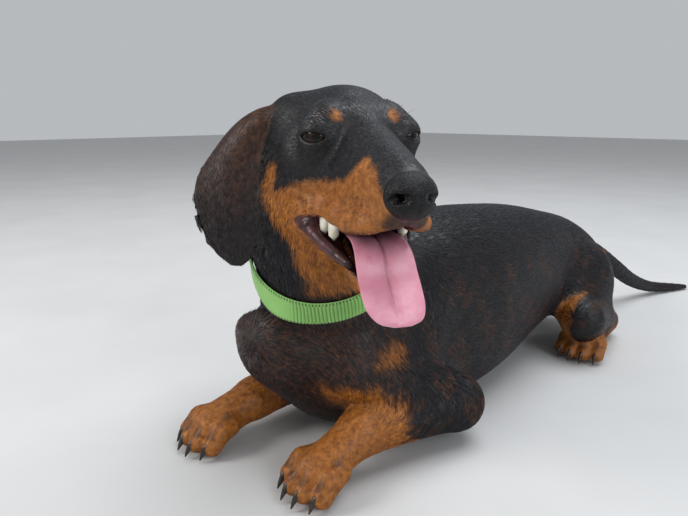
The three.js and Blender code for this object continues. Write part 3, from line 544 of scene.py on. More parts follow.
def faced_out(points, faces):
    """The faces of a closed mesh, turned round where they face inwards."""
    a, b, c = points[np.array([face[:3] for face in faces]).T]
    return faces if (a * np.cross(b, c)).sum() > 0 else [face[::-1] for face in faces]


def sheet(place, half, along, across):
    """Points and quads of a closed sheet. Rows run from the root to the tip."""
    s = np.linspace(0, 1, along + 1)[:, None]
    t = np.sin(np.linspace(-np.pi / 2, np.pi / 2, across + 1))[None, :]
    s, t = [a + 0 * s * t for a in (s, t)]
    e = 1e-3
    ds = place(np.minimum(s + e, 1), t) - place(np.maximum(s - e, 0), t)
    dt = place(s, np.minimum(t + e, 1)) - place(s, np.maximum(t - e, -1))
    n = unit(np.cross(ds, dt))
    thick = half(s, t)[..., None]
    top, low = place(s, t) + n * thick, place(s, t) - n * thick
    loop = np.concatenate([top, low[:, -2:0:-1]], 1)
    n_loop = loop.shape[1]
    quads = quads_between(along + 1, n_loop).tolist()
    for row, flip in ((0, False), (along, True)):
        ring = row * n_loop + np.arange(n_loop)
        for c in range(across):
            cap = [ring[c], ring[(n_loop - c) % n_loop], ring[(n_loop - c - 1) % n_loop], ring[c + 1]]
            cap = list(dict.fromkeys(int(v) for v in cap))
            quads.append(cap[::-1] if flip else cap)
    points = loop.reshape(-1, 3)
    return points, faced_out(points, quads)


EAR_TREES = {}
for word, ear in EARS.items():
    points, quads = sheet(ear_place(ear), ear_half, 56, 28)
    EAR_TREES[word] = (BVHTree.FromPolygons(points.tolist(), quads), points.min(0), points.max(0))


def ears(p):
    """Signed distance to the nearer ear, far from both ears a large number."""
    d = np.full(len(p), 40.0)
    for tree, low, high in EAR_TREES.values():
        close = np.flatnonzero(((p > low - 9) & (p < high + 9)).all(1))
        for i, spot in zip(close, p[close].tolist()):
            at, normal, face, gap = tree.find_nearest(spot)
            if (Vector(spot) - at).dot(normal) < 0:
                gap = -gap
            d[i] = min(d[i], gap)
    return d


def cover(p):
    """How deep the skin lies under the ends of the hair: most on the trunk, least on face and feet."""
    q = to_head(p)
    body = smooth_step((-50 - q[:, 0] - 0.9 * (q[:, 2] + 20)) / 50)
    body = np.where(q[:, 0] > 120, 1, np.maximum(body, smooth_step((-85 - q[:, 2]) / 40)))
    feet = smooth_step((p[:, 2] - 30) / 40)
    return 0.4 + 0.7 * body * feet


def flesh(p, ear_extra=0.0):
    d = join(whole_dog(p), ears(p) - ear_extra, 3)
    d = d + cover(p)
    return -join(-d, p[:, 2] - 0.4, 2)


# Meshes from fields


def one_sheet_table():
    """For each set of inside corners of a cell, whether both inside and outside are in one piece."""
    table = np.zeros(256, bool)
    for mask in range(256):
        whole = True
        for want in (0, 1):
            corners = [c for c in range(8) if (mask >> c) & 1 == want]
            seen = corners[:1]
            for c in seen:
                seen += [c ^ bit for bit in (1, 2, 4) if c ^ bit in corners and c ^ bit not in seen]
            whole &= len(seen) == len(corners)
        table[mask] = whole
    return table


def grown_mesh(field, low, high, cell):
    """A closed mesh of near-square faces where the field is zero."""
    low = np.array(low, float)
    count = np.ceil((np.array(high) - low) / cell).astype(int) + 1
    steps = [low[i] + cell * np.arange(count[i]) for i in range(3)]
    grid = np.stack(np.meshgrid(*steps, indexing="ij"), -1)
    value = field(grid.reshape(-1, 3)).reshape(count)
    for axis in range(3):
        for end in (0, -1):
            rim = [slice(None)] * 3
            rim[axis] = end
            value[tuple(rim)] = np.maximum(value[tuple(rim)], 0.5)
    corners = [((c >> 2) & 1, (c >> 1) & 1, c & 1) for c in range(8)]
    size = count - 1
    table = one_sheet_table()
    for attempt in range(12):
        held = np.stack([value[a:size[0] + a, b:size[1] + b, c:size[2] + c] for a, b, c in corners], -1)
        mask = ((held < 0) << np.arange(8)).sum(-1)
        torn = np.argwhere(~table[mask])
        if not len(torn):
            break
        for cell_at in torn:
            here = [tuple(cell_at + c) for c in corners]
            outside = [c for c in here if value[c] >= 0 and all(0 < v < n - 1 for v, n in zip(c, count))]
            if outside:
                value[min(outside, key=lambda c: value[c])] = -0.3
    crossed = (mask > 0) & (mask < 255)
    cells = np.argwhere(crossed)
    v = held[crossed]
    total, hits = np.zeros((len(v), 3)), np.zeros(len(v))
    for a in range(8):
        for axis, bit in ((0, 4), (1, 2), (2, 1)):
            if a & bit:
                continue
            cut = (v[:, a] < 0) != (v[:, a | bit] < 0)
            spot = np.tile(np.array(corners[a], float), (cut.sum(), 1))
            spot[:, axis] += v[cut, a] / (v[cut, a] - v[cut, a | bit])
            total[cut] += spot
            hits[cut] += 1
    points = low + cell * (cells + total / hits[:, None])
    number = np.full(crossed.shape, -1)
    number[crossed] = np.arange(len(cells))
    inside = value < 0
    quads = []
    for axis in range(3):
        u, w = (axis + 1) % 3, (axis + 2) % 3
        first = inside.take(range(count[axis] - 1), axis)
        second = inside.take(range(1, count[axis]), axis)
        spots = np.argwhere(first != second)
        out = first[tuple(spots.T)]
        ring = []
        for du, dw in ((-1, -1), (0, -1), (0, 0), (-1, 0)):
            at = spots.copy()
            at[:, u] += du
            at[:, w] += dw
            ring.append(number[tuple(at.T)])
        ring = np.stack(ring, 1)
        quads.append(np.where(out[:, None], ring, ring[:, ::-1]))
    return points, np.concatenate(quads)


TETRA = np.array([[1, -1, -1], [-1, -1, 1], [-1, 1, -1], [1, 1, 1]], float)


def slope_of(field, p, e=0.3):
    return sum(TETRA[i] * field(p + e * TETRA[i])[:, None] for i in range(4)) / (4 * e)


def settled(field, p, rounds=2, reach=2.0):
    """Points moved onto the field's surface, and its normals there."""
    for attempt in range(rounds):
        g = slope_of(field, p)
        size = np.maximum(np.linalg.norm(g, axis=1, keepdims=True), 0.2)
        step = field(p)[:, None] / size
        p = p - np.clip(step, -reach, reach) * g / size
    return p, g / np.linalg.norm(g, axis=1, keepdims=True)


def neighbour_sums(values, edges):
    """For each point, the sum of its neighbours' values, and how many they are."""
    n = len(values)
    near = np.zeros((n, 3))
    for c in range(3):
        near[:, c] = np.bincount(edges[:, 0], values[edges[:, 1], c], n)
        near[:, c] += np.bincount(edges[:, 1], values[edges[:, 0], c], n)
    return near, np.bincount(edges.ravel(), minlength=n)[:, None]


def spread_evenly(p, normal, edges, share=0.5):
    """Points moved along the surface towards the middle of their neighbours."""
    near, count = neighbour_sums(p, edges)
    move = near / np.maximum(count, 1) - p
    move -= (move * normal).sum(1, keepdims=True) * normal
    return p + share * move


def piece_of(name, points, faces):
    """A new object whose place is in its mesh, from millimetres in the dog's frame."""
    mesh = bpy.data.meshes.new(name)
    if isinstance(faces, np.ndarray):
        n = faces.shape[1]
        mesh.vertices.add(len(points))
        mesh.vertices.foreach_set("co", to_row(points).astype(np.float32).ravel())
        mesh.loops.add(faces.size)
        mesh.loops.foreach_set("vertex_index", faces.astype(np.int32).ravel())
        mesh.polygons.add(len(faces))
        mesh.polygons.foreach_set("loop_start", np.arange(0, faces.size, n, dtype=np.int32))
    else:
        mesh.from_pydata(to_row(points).tolist(), [], faces)
    mesh.update(calc_edges=True)
    mesh.validate()
    made = bpy.data.objects.new(name, mesh)
    bpy.context.collection.objects.link(made)
    return made


def deselect():
    if bpy.context.object and bpy.context.object.mode != "OBJECT":
        bpy.ops.object.mode_set(mode="OBJECT")
    bpy.ops.object.select_all(action="DESELECT")


def only(made, *others):
    """Selects the piece, and makes it the active one."""
    deselect()
    for chosen in (made, *others):
        chosen.select_set(True)
    bpy.context.view_layer.objects.active = made


def turned_out(made):
    """Points all faces of the closed piece outwards."""
    only(made)
    bpy.ops.object.mode_set(mode="EDIT")
    bpy.ops.mesh.select_all(action="SELECT")
    bpy.ops.mesh.normals_make_consistent(inside=False)
    bpy.ops.object.mode_set(mode="OBJECT")


def places(made):
    co = np.zeros(len(made.data.vertices) * 3, np.float32)
    made.data.vertices.foreach_get("co", co)
    return co.reshape(-1, 3).astype(float) * 1000 - SHIFT


def put(made, points):
    made.data.vertices.foreach_set("co", to_row(points).astype(np.float32).ravel())
    made.data.update()


def edges_of(made):
    edges = np.zeros(len(made.data.edges) * 2, np.int32)
    made.data.edges.foreach_get("vertices", edges)
    return edges.reshape(-1, 2)


def attribute(made, name, values):
    values = np.asarray(values, np.float32)
    kind = "FLOAT" if values.ndim == 1 else "FLOAT_VECTOR"
    layer = made.data.attributes.new(name, kind, "POINT")
    layer.data.foreach_set("value" if values.ndim == 1 else "vector", values.ravel())


def finish_piece(made, material, slot, *nodes, smooth=True):
    made.data.materials.clear()
    made.data.materials.append(material)
    if smooth:
        made.data.polygons.foreach_set("use_smooth", np.ones(len(made.data.polygons), bool))
    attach(made, "root")
    if nodes:
        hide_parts(*nodes)
    return made


# Skin


def refine(made, chosen):
    """Splits the chosen faces in edit mode. chosen is a function of the faces' middles."""
    only(made)
    middles = np.zeros(len(made.data.polygons) * 3, np.float32)
    made.data.polygons.foreach_get("center", middles)
    pick = chosen(middles.reshape(-1, 3).astype(float) * 1000 - SHIFT)
    made.data.polygons.foreach_set("select", pick)
    made.data.vertices.foreach_set("select", np.zeros(len(made.data.vertices), bool))
    made.data.edges.foreach_set("select", np.zeros(len(made.data.edges), bool))
    bpy.ops.object.mode_set(mode="EDIT")
    bpy.ops.mesh.select_mode(type="FACE")
    bpy.ops.object.mode_set(mode="OBJECT")
    made.data.polygons.foreach_set("select", pick)
    bpy.ops.object.mode_set(mode="EDIT")
    bpy.ops.mesh.subdivide(number_cuts=1)
    bpy.ops.object.mode_set(mode="OBJECT")


def fine_parts(p):
    q = to_head(p)
    return (head(p) < 6) & (q[:, 0] + 0.9 * q[:, 2] > -100) | (ears(p) < 3) | (paws(p) < 4)


def finest_parts(p):
    q = to_head(p)
    eyes = lids(q) < 5
    mouth = (np.abs(mouth_wedge(q)) < 6) & (q[:, 0] > -34) & (np.abs(q[:, 1]) < 45) & (q[:, 0] < 90)
    jaw_edge = (lower_lips(shut_jaw(q)) < 4) & (q[:, 0] > -34)
    nose = nose_ball(q) < 3
    return eyes | mouth | jaw_edge | nose


def collar_axes():
    """The way through the collar, the way across its webbing, and two ways in its plane."""
    up = unit(np.array([0.358, -0.487, 0.797]))
    across = unit(np.array([0.13, -0.26, 0.957]))
    out = along_surface(np.array([0, -1.0, 0]), up)
    return up, across, out, np.cross(up, out)


COLLAR_UP, COLLAR_ACROSS, COLLAR_OUT, COLLAR_SIDE = collar_axes()


def face_folds(q):
    """Fine folds on the face, in millimetres outwards."""
    side = np.abs(q[:, 1])
    corner = np.hypot(q[:, 0] + 15, (q[:, 2] + 46))
    rear = smooth_step((14 - q[:, 0]) / 14) * smooth_step((side - 22) / 10)
    ring = np.cos((corner - 6.5) * 2 * np.pi / 6.6) * bell(corner - 12, 9)
    folds = 0.75 * ring * rear * smooth_step((q[:, 2] + 62) / 16)
    brow = bell(q[:, 0] - 5, 9) * bell(side - 24, 9)
    crease = -brow * (0.5 * bell(q[:, 2] - 9.5, 1.3) + 0.35 * bell(q[:, 2] + 8.6, 1.2))
    stop = -0.5 * bell(q[:, 1], 2.2) * bell(q[:, 0] + 4, 16) * (q[:, 2] > 0)
    philtrum = -0.7 * bell(q[:, 1], 0.9) * (q[:, 0] > 74) * (q[:, 2] < -27)
    return folds + crease + stop + philtrum


def skin_piece():
    """The one skin of all the flesh. Its unwrap is made before the face and feet get finer."""
    points, quads = grown_mesh(lambda p: flesh(p, 1.6), [-98, -288, -4], [140, 470, 274], SKIN_CELL)
    made = piece_of("skin", points, quads)
    points = places(made)
    edges = edges_of(made)
    for attempt in range(2):
        points, normal = settled(flesh, points, 1)
        points = spread_evenly(points, normal, edges)
    points, normal = settled(flesh, points, 1)
    put(made, points)
    only(made)
    bpy.ops.object.mode_set(mode="EDIT")
    bpy.ops.mesh.select_all(action="SELECT")
    bpy.ops.uv.smart_project(angle_limit=math.radians(60), island_margin=0.003)
    bpy.ops.object.mode_set(mode="OBJECT")
    made.data.uv_layers[0].name = "OFBake"
    for chosen in (fine_parts, finest_parts):
        refine(made, chosen)
        points = places(made)
        edges = edges_of(made)
        for attempt in range(2):
            points, normal = settled(flesh, points, 1, 1.2)
            points = spread_evenly(points, normal, edges)
        points, normal = settled(flesh, points, 1, 0.8)
        put(made, points)
    points = points + normal * fold_height(points)[:, None]
    put(made, points)
    return made, points, normal


def fold_height(p):
    q = to_head(p)
    return face_folds(q) * ((head(p) < 4) & (q[:, 0] > -60))


# Markings: where the coat is tan, rusty or worn to skin, from named places on the head and body

tan_top = through([
    [-60, -60],
    [-46, -44],
    [-36, -33],
    [-24, -31],
    [-12, -28],
    [4, -25],
    [24, -24],
    [36, -20.5],
    [44, -14.5],
    [52, -9],
    [60, -12],
    [70, -17],
    [76, -24],
    [92, -30],
])
tan_rear = through([
    [-108, -18],
    [-100, -16],
    [-90, -14],
    [-78, -16],
    [-62, -17],
    [-50, -26],
    [-40, -36],
    [-30, -40],
    [-14, -40],
])
eyebrow_spots = pair(lambda s: egg([8, s * 17.2, 12], [3.8, 2.6, 3.1], [0, 0, s * 20]))
cheek_stripes = pair(lambda s: egg([-32, s * 42, -27], [6, 20, 13], [0, 10, 0]))
chest_spots = [
    egg([54, -178, 84], [12, 15, 7], [20, 0, 30]),
    egg([-78, -196, 80], [12, 14, 7], [20, 0, -30]),
]
vent = egg([4, 244, 74], [26, 26, 24])
WHISKER_ROOTS = [
    (66 - 7.5 * i - 2 * row, 12 + 1.8 * i, -28 - 4.2 * row - 0.7 * i)
    for row in range(3)
    for i in range(5)
]


def wobble(p, size, seed):
    """A smooth wavering value of about one, different all over, for the ragged edges of marks."""
    ways = np.random.default_rng(seed).normal(size=(7, 3)) / size
    turns = np.random.default_rng(seed + 1).uniform(0, 6.28, 7)
    return np.sin(p @ ways.T + turns).sum(1) / 3


def edge(distance, soft):
    return smooth_step(0.5 - distance / (2 * soft))


def tan_of(p):
    q = to_head(p)
    rough = 1.1 * wobble(p, 2.2, 3) + 0.8 * wobble(p, 0.9, 5)
    on_head = edge(head(p) - 15, 3)
    face = np.maximum(q[:, 2] - tan_top(q[:, 0]), (tan_rear(q[:, 2]) - q[:, 0]) * 0.8)
    # Under the nose the tan is darkened: partly the black upper lip, partly painted shadow under the nose
    lip_and_shadow_under_nose = egg([84, 0, -42], [16, 15, 11])(q)
    face_tan = edge(face + rough, 2.4) * smooth_step((q[:, 2] + 101) / 8)
    face_tan = face_tan * (1 - 0.85 * edge(lip_and_shadow_under_nose, 3)) * (1 - 0.6 * whisker_dots(q))
    spots = edge(eyebrow_spots(q) + 0.6 * rough, 2.2)
    stripe = 0.9 * edge(cheek_stripes(q) + rough, 2.5) * (ears(p) > 1.5)
    face_tan = face_tan * np.maximum(on_head, q[:, 2] < -60)
    tan = np.maximum(face_tan, np.maximum(spots, stripe) * on_head)
    away = (p[:, 1] > -60) | (q[:, 2] < -108)
    tan = np.where(away, 0, tan)
    for spot in chest_spots:
        tan = np.maximum(tan, 0.55 * edge(spot(p) + 2 * rough, 4))
    for side in (LEFT, RIGHT):
        elbow, wrist, knuckles = FORELEG[side]
        inner = side * (p[:, 0] - (elbow[0] + wrist[0]) / 2 - side * 2)
        arm = np.maximum(foreleg(p, side) - 4, inner * 1.0 - 4 + 0.25 * (p[:, 2] - 40))
        arm = np.maximum(arm, np.maximum(p[:, 1] + 150, p[:, 2] - 66))
        foot = np.maximum(join(forepaws[side](p), forearms[side](p), 4) - 5, p[:, 1] - wrist[1] - 26)
        hind_foot = hindpaws[side](p) - 4
        hind_inner = np.maximum(calves[side](p) - 5, side * p[:, 0] - 62)
        limb_tan = np.minimum(np.minimum(arm, foot), np.minimum(hind_foot, hind_inner))
        tan = np.maximum(tan, 0.95 * edge(limb_tan + 1.6 * rough, 4))
        for kind in ("fore", "hind"):
            for root, tip, way in toe_lines[kind, side]:
                pencil = limb([[root[0], root[1], 26, 2], [tip[0], tip[1], 17, 2.2]])(p)
                tan = tan * (1 - 0.65 * edge(pencil - 1, 2))
    tan = np.maximum(tan, 0.85 * edge(vent(p) + 2 * rough, 6) * (tail(p) > -30) * (p[:, 2] < 84))
    return tan


def whisker_dots(q):
    """Dark dots in rows on the upper lip, where the whiskers grow."""
    spots = np.zeros(len(q))
    for root in WHISKER_ROOTS:
        gap = np.hypot(q[:, 0] - root[0], q[:, 2] - root[2])
        spots = np.maximum(spots, edge(gap - 0.9, 0.6))
    return spots


def rust_of(p):
    """Brown cast of the black coat: strong on the ears, some on flank and chest."""
    q = to_head(p)
    on_ear = edge(ears(p) - 2, 2) * smooth_step((np.abs(q[:, 1]) - 36) / 8)
    top = smooth_step((q[:, 2] + 66) / 66)
    flank = smooth_step((np.abs(p[:, 0]) - 20) / 40) * smooth_step((150 - p[:, 2]) / 60) * (p[:, 2] < 165)
    grizzle = np.clip(wobble(p, 6, 21), 0, 1)
    chest = smooth_step((-150 - p[:, 1]) / 60) * smooth_step((140 - p[:, 2]) / 40) * 0.45
    body = np.maximum(flank * 0.5 * grizzle, chest) * (q[:, 2] < -60)
    return np.clip(on_ear * (0.12 + 0.88 * top) + (1 - on_ear) * body, 0, 1)


def mouth_of(p, facing=0):
    """1 on the wet lining of the mouth, which faces its hollow, and on the bare edge of a lip."""
    q = to_head(p)
    ahead = to_head(p + 2 * facing)
    hollows = [mouth_wedge(ahead), mouth_roof(ahead), jaw_bed(shut_jaw(ahead)), mouth_side(ahead)]
    inside = (q[:, 0] > -30) & (head(p) < 6) & (np.abs(q[:, 1]) < 40)
    wet = np.maximum(edge(np.min(hollows, axis=0) - 0.6, 1.2), edge(lip_rolls(q) - 0.4, 1.2))
    return np.where(inside, wet, 0)


def lie_of(p, normal):
    """The way that the hair lies at each place, along the surface."""
    q = to_head(p)
    out = np.sign(p[:, :1])
    ones = np.ones((len(p), 1))

    def way(x, y, z):
        return np.concatenate([x * ones, y * ones, z * ones], 1)

    back = -HEAD_AXES[0]
    head_way = way(*back) + HEAD_AXES[1] * np.sign(q[:, 1:2]) * 0.25 - [0, 0, 0.25]
    sides = [(torso(p), way(0.06 * out, 1, -0.25)), (neck(p), way(0, 0.55, -0.9)), (head(p), head_way)]
    sides.append((tail(p), way(0.12, 1, -0.35)))
    for side in (LEFT, RIGHT):
        elbow, wrist, knuckles = [np.array(v, float) for v in FORELEG[side]]
        sides.append((blades[side](p), way(0, 0.35, -1)))
        sides.append((arms[side](p), way(0.1 * side, 0.5, -1)))
        sides.append((forearms[side](p), way(*(wrist - elbow) / 80)))
        sides.append((forepaws[side](p) - 2, way(*(knuckles - wrist) / 36)))
        sides.append((thighs[side](p), way(0.1 * side, 0.75, -0.7)))
        sides.append((calves[side](p), way(0, 1, -0.35)))
        sides.append((hindpaws[side](p) - 2, way(0, -1, -0.3)))
    ear_gap = ears(p)
    sides.append((np.where(ear_gap < 8, ear_gap - 6, 60), ear_way(q)))
    gaps = np.stack([d for d, w in sides])
    weight = np.exp(-(gaps - gaps.min(0)) / 5)
    return along_surface(sum(w[:, None] * v for w, (d, v) in zip(weight, sides)), normal)


def ear_way(q):
    """Down the middle of the nearer ear, from its root to its tip."""
    total = np.zeros((len(q), 3))
    for ear in EARS.values():
        s = np.linspace(0.1, 1, 40)
        s = np.interp(-q[:, 2], -ear["up"](s), s)
        step = [ear[key](np.minimum(s + 0.06, 1)) - ear[key](s - 0.06) for key in ("forward", "out", "up")]
        step = np.stack([step[0], ear["side"] * step[1], step[2]], 1)
        total = np.where(np.sign(q[:, 1:2]) == ear["side"], step, total)
    return unit(total) @ HEAD_AXES


def brow_hairs(q):
    """Where pale hairs are scattered: over the eyes and at the temples."""
    side = np.abs(q[:, 1])
    brow = bell(q[:, 0] - 2, 11) * bell(side - 27, 8) * bell(q[:, 2] - 11, 6)
    return np.clip(1.3 * brow - 0.2, 0, 1)


def from_axes(f, l, u):
    return np.array([f, l, u]) @ HEAD_AXES


def smoothed(values, edges, rounds):
    for attempt in range(rounds):
        near, count = neighbour_sums(values, edges)
        values = (values + near) / (count + 1)
    return values


# Materials


class Finish:
    """A material, or a group of nodes, being put together."""

    def __init__(self, name, group=False):
        if group:
            self.made = bpy.data.node_groups.new(name, "ShaderNodeTree")
            self.tree = self.made
        else:
            self.made = bpy.data.materials.new(name)
            self.made.use_nodes = True
            self.tree = self.made.node_tree
            self.shader = self.tree.nodes["Principled BSDF"]

    def node(self, kind, inputs=None, **settings):
        made = self.tree.nodes.new("ShaderNode" + kind)
        for key, value in settings.items():
            setattr(made, key, value)
        self.feed(made, inputs or {})
        return made

    def feed(self, node, inputs):
        for key, value in inputs.items():
            socket = node.inputs[key]
            if isinstance(value, bpy.types.NodeSocket):
                self.tree.links.new(value, socket)
            else:
                socket.default_value = value

    def looks(self, **inputs):
        """Sets or links the shader's own sockets, with underscores for spaces."""
        self.feed(self.shader, {key.replace("_", " "): value for key, value in inputs.items()})

    def place(self):
        return self.node("TexCoord").outputs["Object"]

    def value(self, name):
        return self.node("Attribute", attribute_name=name).outputs["Fac"]

    def maths(self, operation, a, b=0.0, clamp=False):
        return self.node("Math", {0: a, 1: b}, operation=operation, use_clamp=clamp).outputs[0]

    def blend(self, share, a, b, kind="MIX"):
        mix = self.node("Mix", data_type="RGBA", blend_type=kind)
        self.feed(mix, {0: share, 6: a, 7: b})
        return mix.outputs[2]

    def spread(self, value, low, high, to_low=0.0, to_high=1.0):
        return self.node("MapRange", {0: value, 1: low, 2: high, 3: to_low, 4: to_high}).outputs[0]

    def between(self, value, low, high, first, last):
        """A colour that goes from the first to the last as the value rises."""
        return self.blend(self.spread(value, low, high), rgb(*first), rgb(*last))

    def noise(self, place, scale, detail=3.0):
        inputs = {"Vector": place, "Scale": scale, "Detail": detail, "Roughness": 0.55}
        return self.node("TexNoise", inputs).outputs[0]

    def stretched(self, place, scale):
        return self.node("Mapping", {"Vector": place, "Scale": scale}).outputs[0]

    def bump(self, height, strength, distance):
        return self.node("Bump", {"Height": height, "Strength": strength, "Distance": distance}).outputs[0]

    def use(self, group, **inputs):
        made = self.tree.nodes.new("ShaderNodeGroup")
        made.node_tree = group
        self.feed(made, {key.replace("_", " "): value for key, value in inputs.items()})
        return made.outputs


def rgb(r, g, b):
    return (r, g, b, 1)


def group_of(name, inputs, outputs):
    made = Finish(name, group=True)
    for label, kind, value in inputs:
        socket = made.tree.interface.new_socket(label, in_out="INPUT", socket_type="NodeSocket" + kind)
        if value is not None:
            socket.default_value = value
    for label, kind in outputs:
        made.tree.interface.new_socket(label, in_out="OUTPUT", socket_type="NodeSocket" + kind)
    into = made.tree.nodes.new("NodeGroupInput").outputs
    out = made.tree.nodes.new("NodeGroupOutput")
    return made, into, out


def coat_group():
    """Black and tan hair: colour from the markings, with clumps of hair of different depth."""
    made, into, out = group_of(
        "black_and_tan",
        [("Place", "Vector", None)] + [(mark, "Float", 0.0) for mark in ("Tan", "Rust", "Pale", "Shade")],
        [("Color", "Color"), ("Roughness", "Float"), ("Height", "Float")],
    )
    clumps = made.noise(into["Place"], 260, 4)
    broad = made.noise(into["Place"], 38, 3)
    black = made.between(clumps, 0.35, 0.7, (0.0025, 0.0023, 0.003), (0.011, 0.0105, 0.0135))
    worn = made.between(clumps, 0.4, 0.75, (0.026, 0.0095, 0.0045), (0.115, 0.042, 0.018))
    depth = made.maths("MULTIPLY", into["Rust"], made.spread(broad, 0.35, 0.6, 0.55, 1.0), True)
    black = made.blend(depth, black, worn)
    tan = made.between(clumps, 0.3, 0.75, (0.17, 0.05, 0.006), (0.46, 0.165, 0.024))
    tan = made.blend(made.spread(broad, 0.4, 0.7, 0.0, 0.35), tan, rgb(0.44, 0.15, 0.04))
    color = made.blend(into["Tan"], black, tan)
    color = made.blend(into["Pale"], color, rgb(0.21, 0.18, 0.17))
    bright = made.spread(into["Shade"], 0.0, 1.0, 0.7, 1.35)
    grey = made.node("CombineXYZ", {0: bright, 1: bright, 2: bright}).outputs[0]
    color = made.blend(1.0, color, grey, "MULTIPLY")
    rough = made.spread(clumps, 0.3, 0.7, 0.38, 0.6)
    made.feed(out, {"Color": color, "Roughness": rough, "Height": clumps})
    return made.tree


def wet_group():
    """Small bumps and pits of wet bare skin."""
    made, into, out = group_of(
        "wet_grain",
        [("Place", "Vector", None), ("Scale", "Float", 600), ("Depth", "Float", 1)],
        [("Height", "Float"), ("Wet", "Float")],
    )
    inputs = {"Vector": into["Place"], "Scale": into["Scale"]}
    cells = made.node("TexVoronoi", inputs, feature="DISTANCE_TO_EDGE")
    fine = made.noise(into["Place"], 900, 2)
    ridge = made.spread(cells.outputs[0], 0.0, 0.25)
    height = made.maths("MULTIPLY", made.maths("ADD", ridge, fine), into["Depth"])
    wet = made.spread(made.noise(into["Place"], 90, 3), 0.35, 0.65, 0.12, 0.36)
    made.feed(out, {"Height": height, "Wet": wet})
    return made.tree


COAT = coat_group()
WET = wet_group()


def skin_material():
    made = Finish("smooth_coat")
    place = made.place()
    coat = made.use(COAT, Place=place, Tan=made.value("tan"), Rust=made.value("rust"), Shade=0.35)
    wet = made.use(WET, Place=place, Scale=900.0, Depth=1.0)
    mouth = made.value("mouth")
    deep = made.value("deep")
    patches = made.noise(place, 120, 3)
    lining = made.between(patches, 0.35, 0.65, (0.028, 0.008, 0.008), (0.085, 0.022, 0.022))
    # Painted shade: the lining is darkened towards the middle and back of the mouth, where shade falls
    lining = made.blend(deep, lining, rgb(0.012, 0.004, 0.004))
    color = made.blend(mouth, coat["Color"], lining)
    pad = made.between(wet["Height"], 0.4, 1.4, (0.012, 0.009, 0.009), (0.035, 0.027, 0.025))
    color = made.blend(made.value("pad"), color, pad)
    damp = made.maths("ADD", wet["Wet"], 0.16)
    rough = made.node("Mix", {0: mouth, 2: coat["Roughness"], 3: damp}).outputs[0]
    made.looks(Base_Color=color, Roughness=rough, Normal=made.bump(coat["Height"], 0.35, 0.0006))
    made.looks(Specular_IOR_Level=0.4)
    return made.made


def hair_material():
    made = Finish("short_hair")
    marks = {name.title(): made.value(name) for name in ("tan", "rust", "pale", "shade")}
    coat = made.use(COAT, Place=made.place(), **marks)
    streak = made.bump(made.noise(made.place(), 1500, 2), 0.25, 0.0003)
    made.looks(Base_Color=coat["Color"], Roughness=coat["Roughness"], Normal=streak)
    made.looks(Specular_IOR_Level=0.28, Sheen_Weight=0.05, Sheen_Roughness=0.35)
    made.shader.inputs["Sheen Tint"].default_value = rgb(0.62, 0.7, 0.95)
    return made.made


def nose_material():
    made = Finish("nose_leather")
    wet = made.use(WET, Place=made.place(), Scale=900.0, Depth=1.0)
    worn = made.noise(made.place(), 160, 4)
    color = made.between(worn, 0.4, 0.7, (0.002, 0.0019, 0.0024), (0.006, 0.006, 0.0075))
    made.looks(
        Base_Color=color,
        Roughness=made.maths("ADD", wet["Wet"], 0.16),
        Normal=made.bump(wet["Height"], 0.5, 0.00035),
    )
    made.looks(Coat_Weight=0.05, Coat_Roughness=0.3, Specular_IOR_Level=0.22)
    return made.made


def tongue_material():
    made = Finish("tongue")
    place = made.place()
    wet = made.use(WET, Place=place, Scale=1500.0, Depth=0.5)
    broad = made.noise(place, 55, 3)
    pink = made.between(broad, 0.35, 0.65, (0.60, 0.21, 0.29), (0.73, 0.34, 0.43))
    # Painted shade: the groove down the middle of the tongue is darkened
    pink = made.blend(made.value("groove"), pink, rgb(0.33, 0.10, 0.13))
    # Painted shade: the tongue darkens towards its root, inside the mouth
    pink = made.blend(made.value("deep"), pink, rgb(0.1, 0.02, 0.022))
    made.looks(
        Base_Color=pink,
        Roughness=made.maths("ADD", wet["Wet"], 0.08),
        Normal=made.bump(wet["Height"], 0.3, 0.0003),
    )
    made.looks(Subsurface_Weight=0.25, Subsurface_Scale=0.004, Coat_Weight=0.3, Coat_Roughness=0.2)
    made.shader.inputs["Subsurface Radius"].default_value = (1.0, 0.35, 0.25)
    return made.made


def tooth_material():
    made = Finish("tooth_enamel")
    place = made.place()
    stain = made.noise(place, 240, 3)
    color = made.between(stain, 0.4, 0.75, (0.83, 0.80, 0.70), (0.66, 0.55, 0.34))
    made.looks(
        Base_Color=color,
        Roughness=made.spread(stain, 0.3, 0.7, 0.14, 0.3),
        Normal=made.bump(stain, 0.1, 0.0002),
    )
    made.looks(Subsurface_Weight=0.15, Subsurface_Scale=0.002)
    return made.made


def claw_material(name="claw_horn"):
    made = Finish(name)
    grain = made.noise(made.stretched(made.place(), (900, 200, 900)), 1.0, 3)
    color = made.between(grain, 0.35, 0.7, (0.010, 0.008, 0.007), (0.045, 0.032, 0.024))
    made.looks(
        Base_Color=color,
        Roughness=made.spread(grain, 0.3, 0.7, 0.25, 0.45),
        Normal=made.bump(grain, 0.3, 0.0002),
    )
    return made.made


def eye_material():
    made = Finish("eye_ball")
    ring = made.value("ring")
    rays = made.noise(made.place(), 900, 4)
    iris = made.between(rays, 0.3, 0.7, (0.005, 0.002, 0.0012), (0.028, 0.01, 0.004))
    color = made.blend(made.spread(ring, 0.19, 0.24), rgb(0.001, 0.001, 0.0012), iris)
    color = made.blend(made.spread(ring, 0.52, 0.6), color, rgb(0.004, 0.002, 0.0015))
    color = made.blend(made.spread(ring, 0.72, 0.85), color, rgb(0.03, 0.016, 0.012))
    made.looks(Base_Color=color, Roughness=made.spread(rays, 0.3, 0.7, 0.16, 0.28))
    made.looks(Coat_Weight=0.4, Coat_Roughness=0.04, Specular_IOR_Level=0.05)
    return made.made


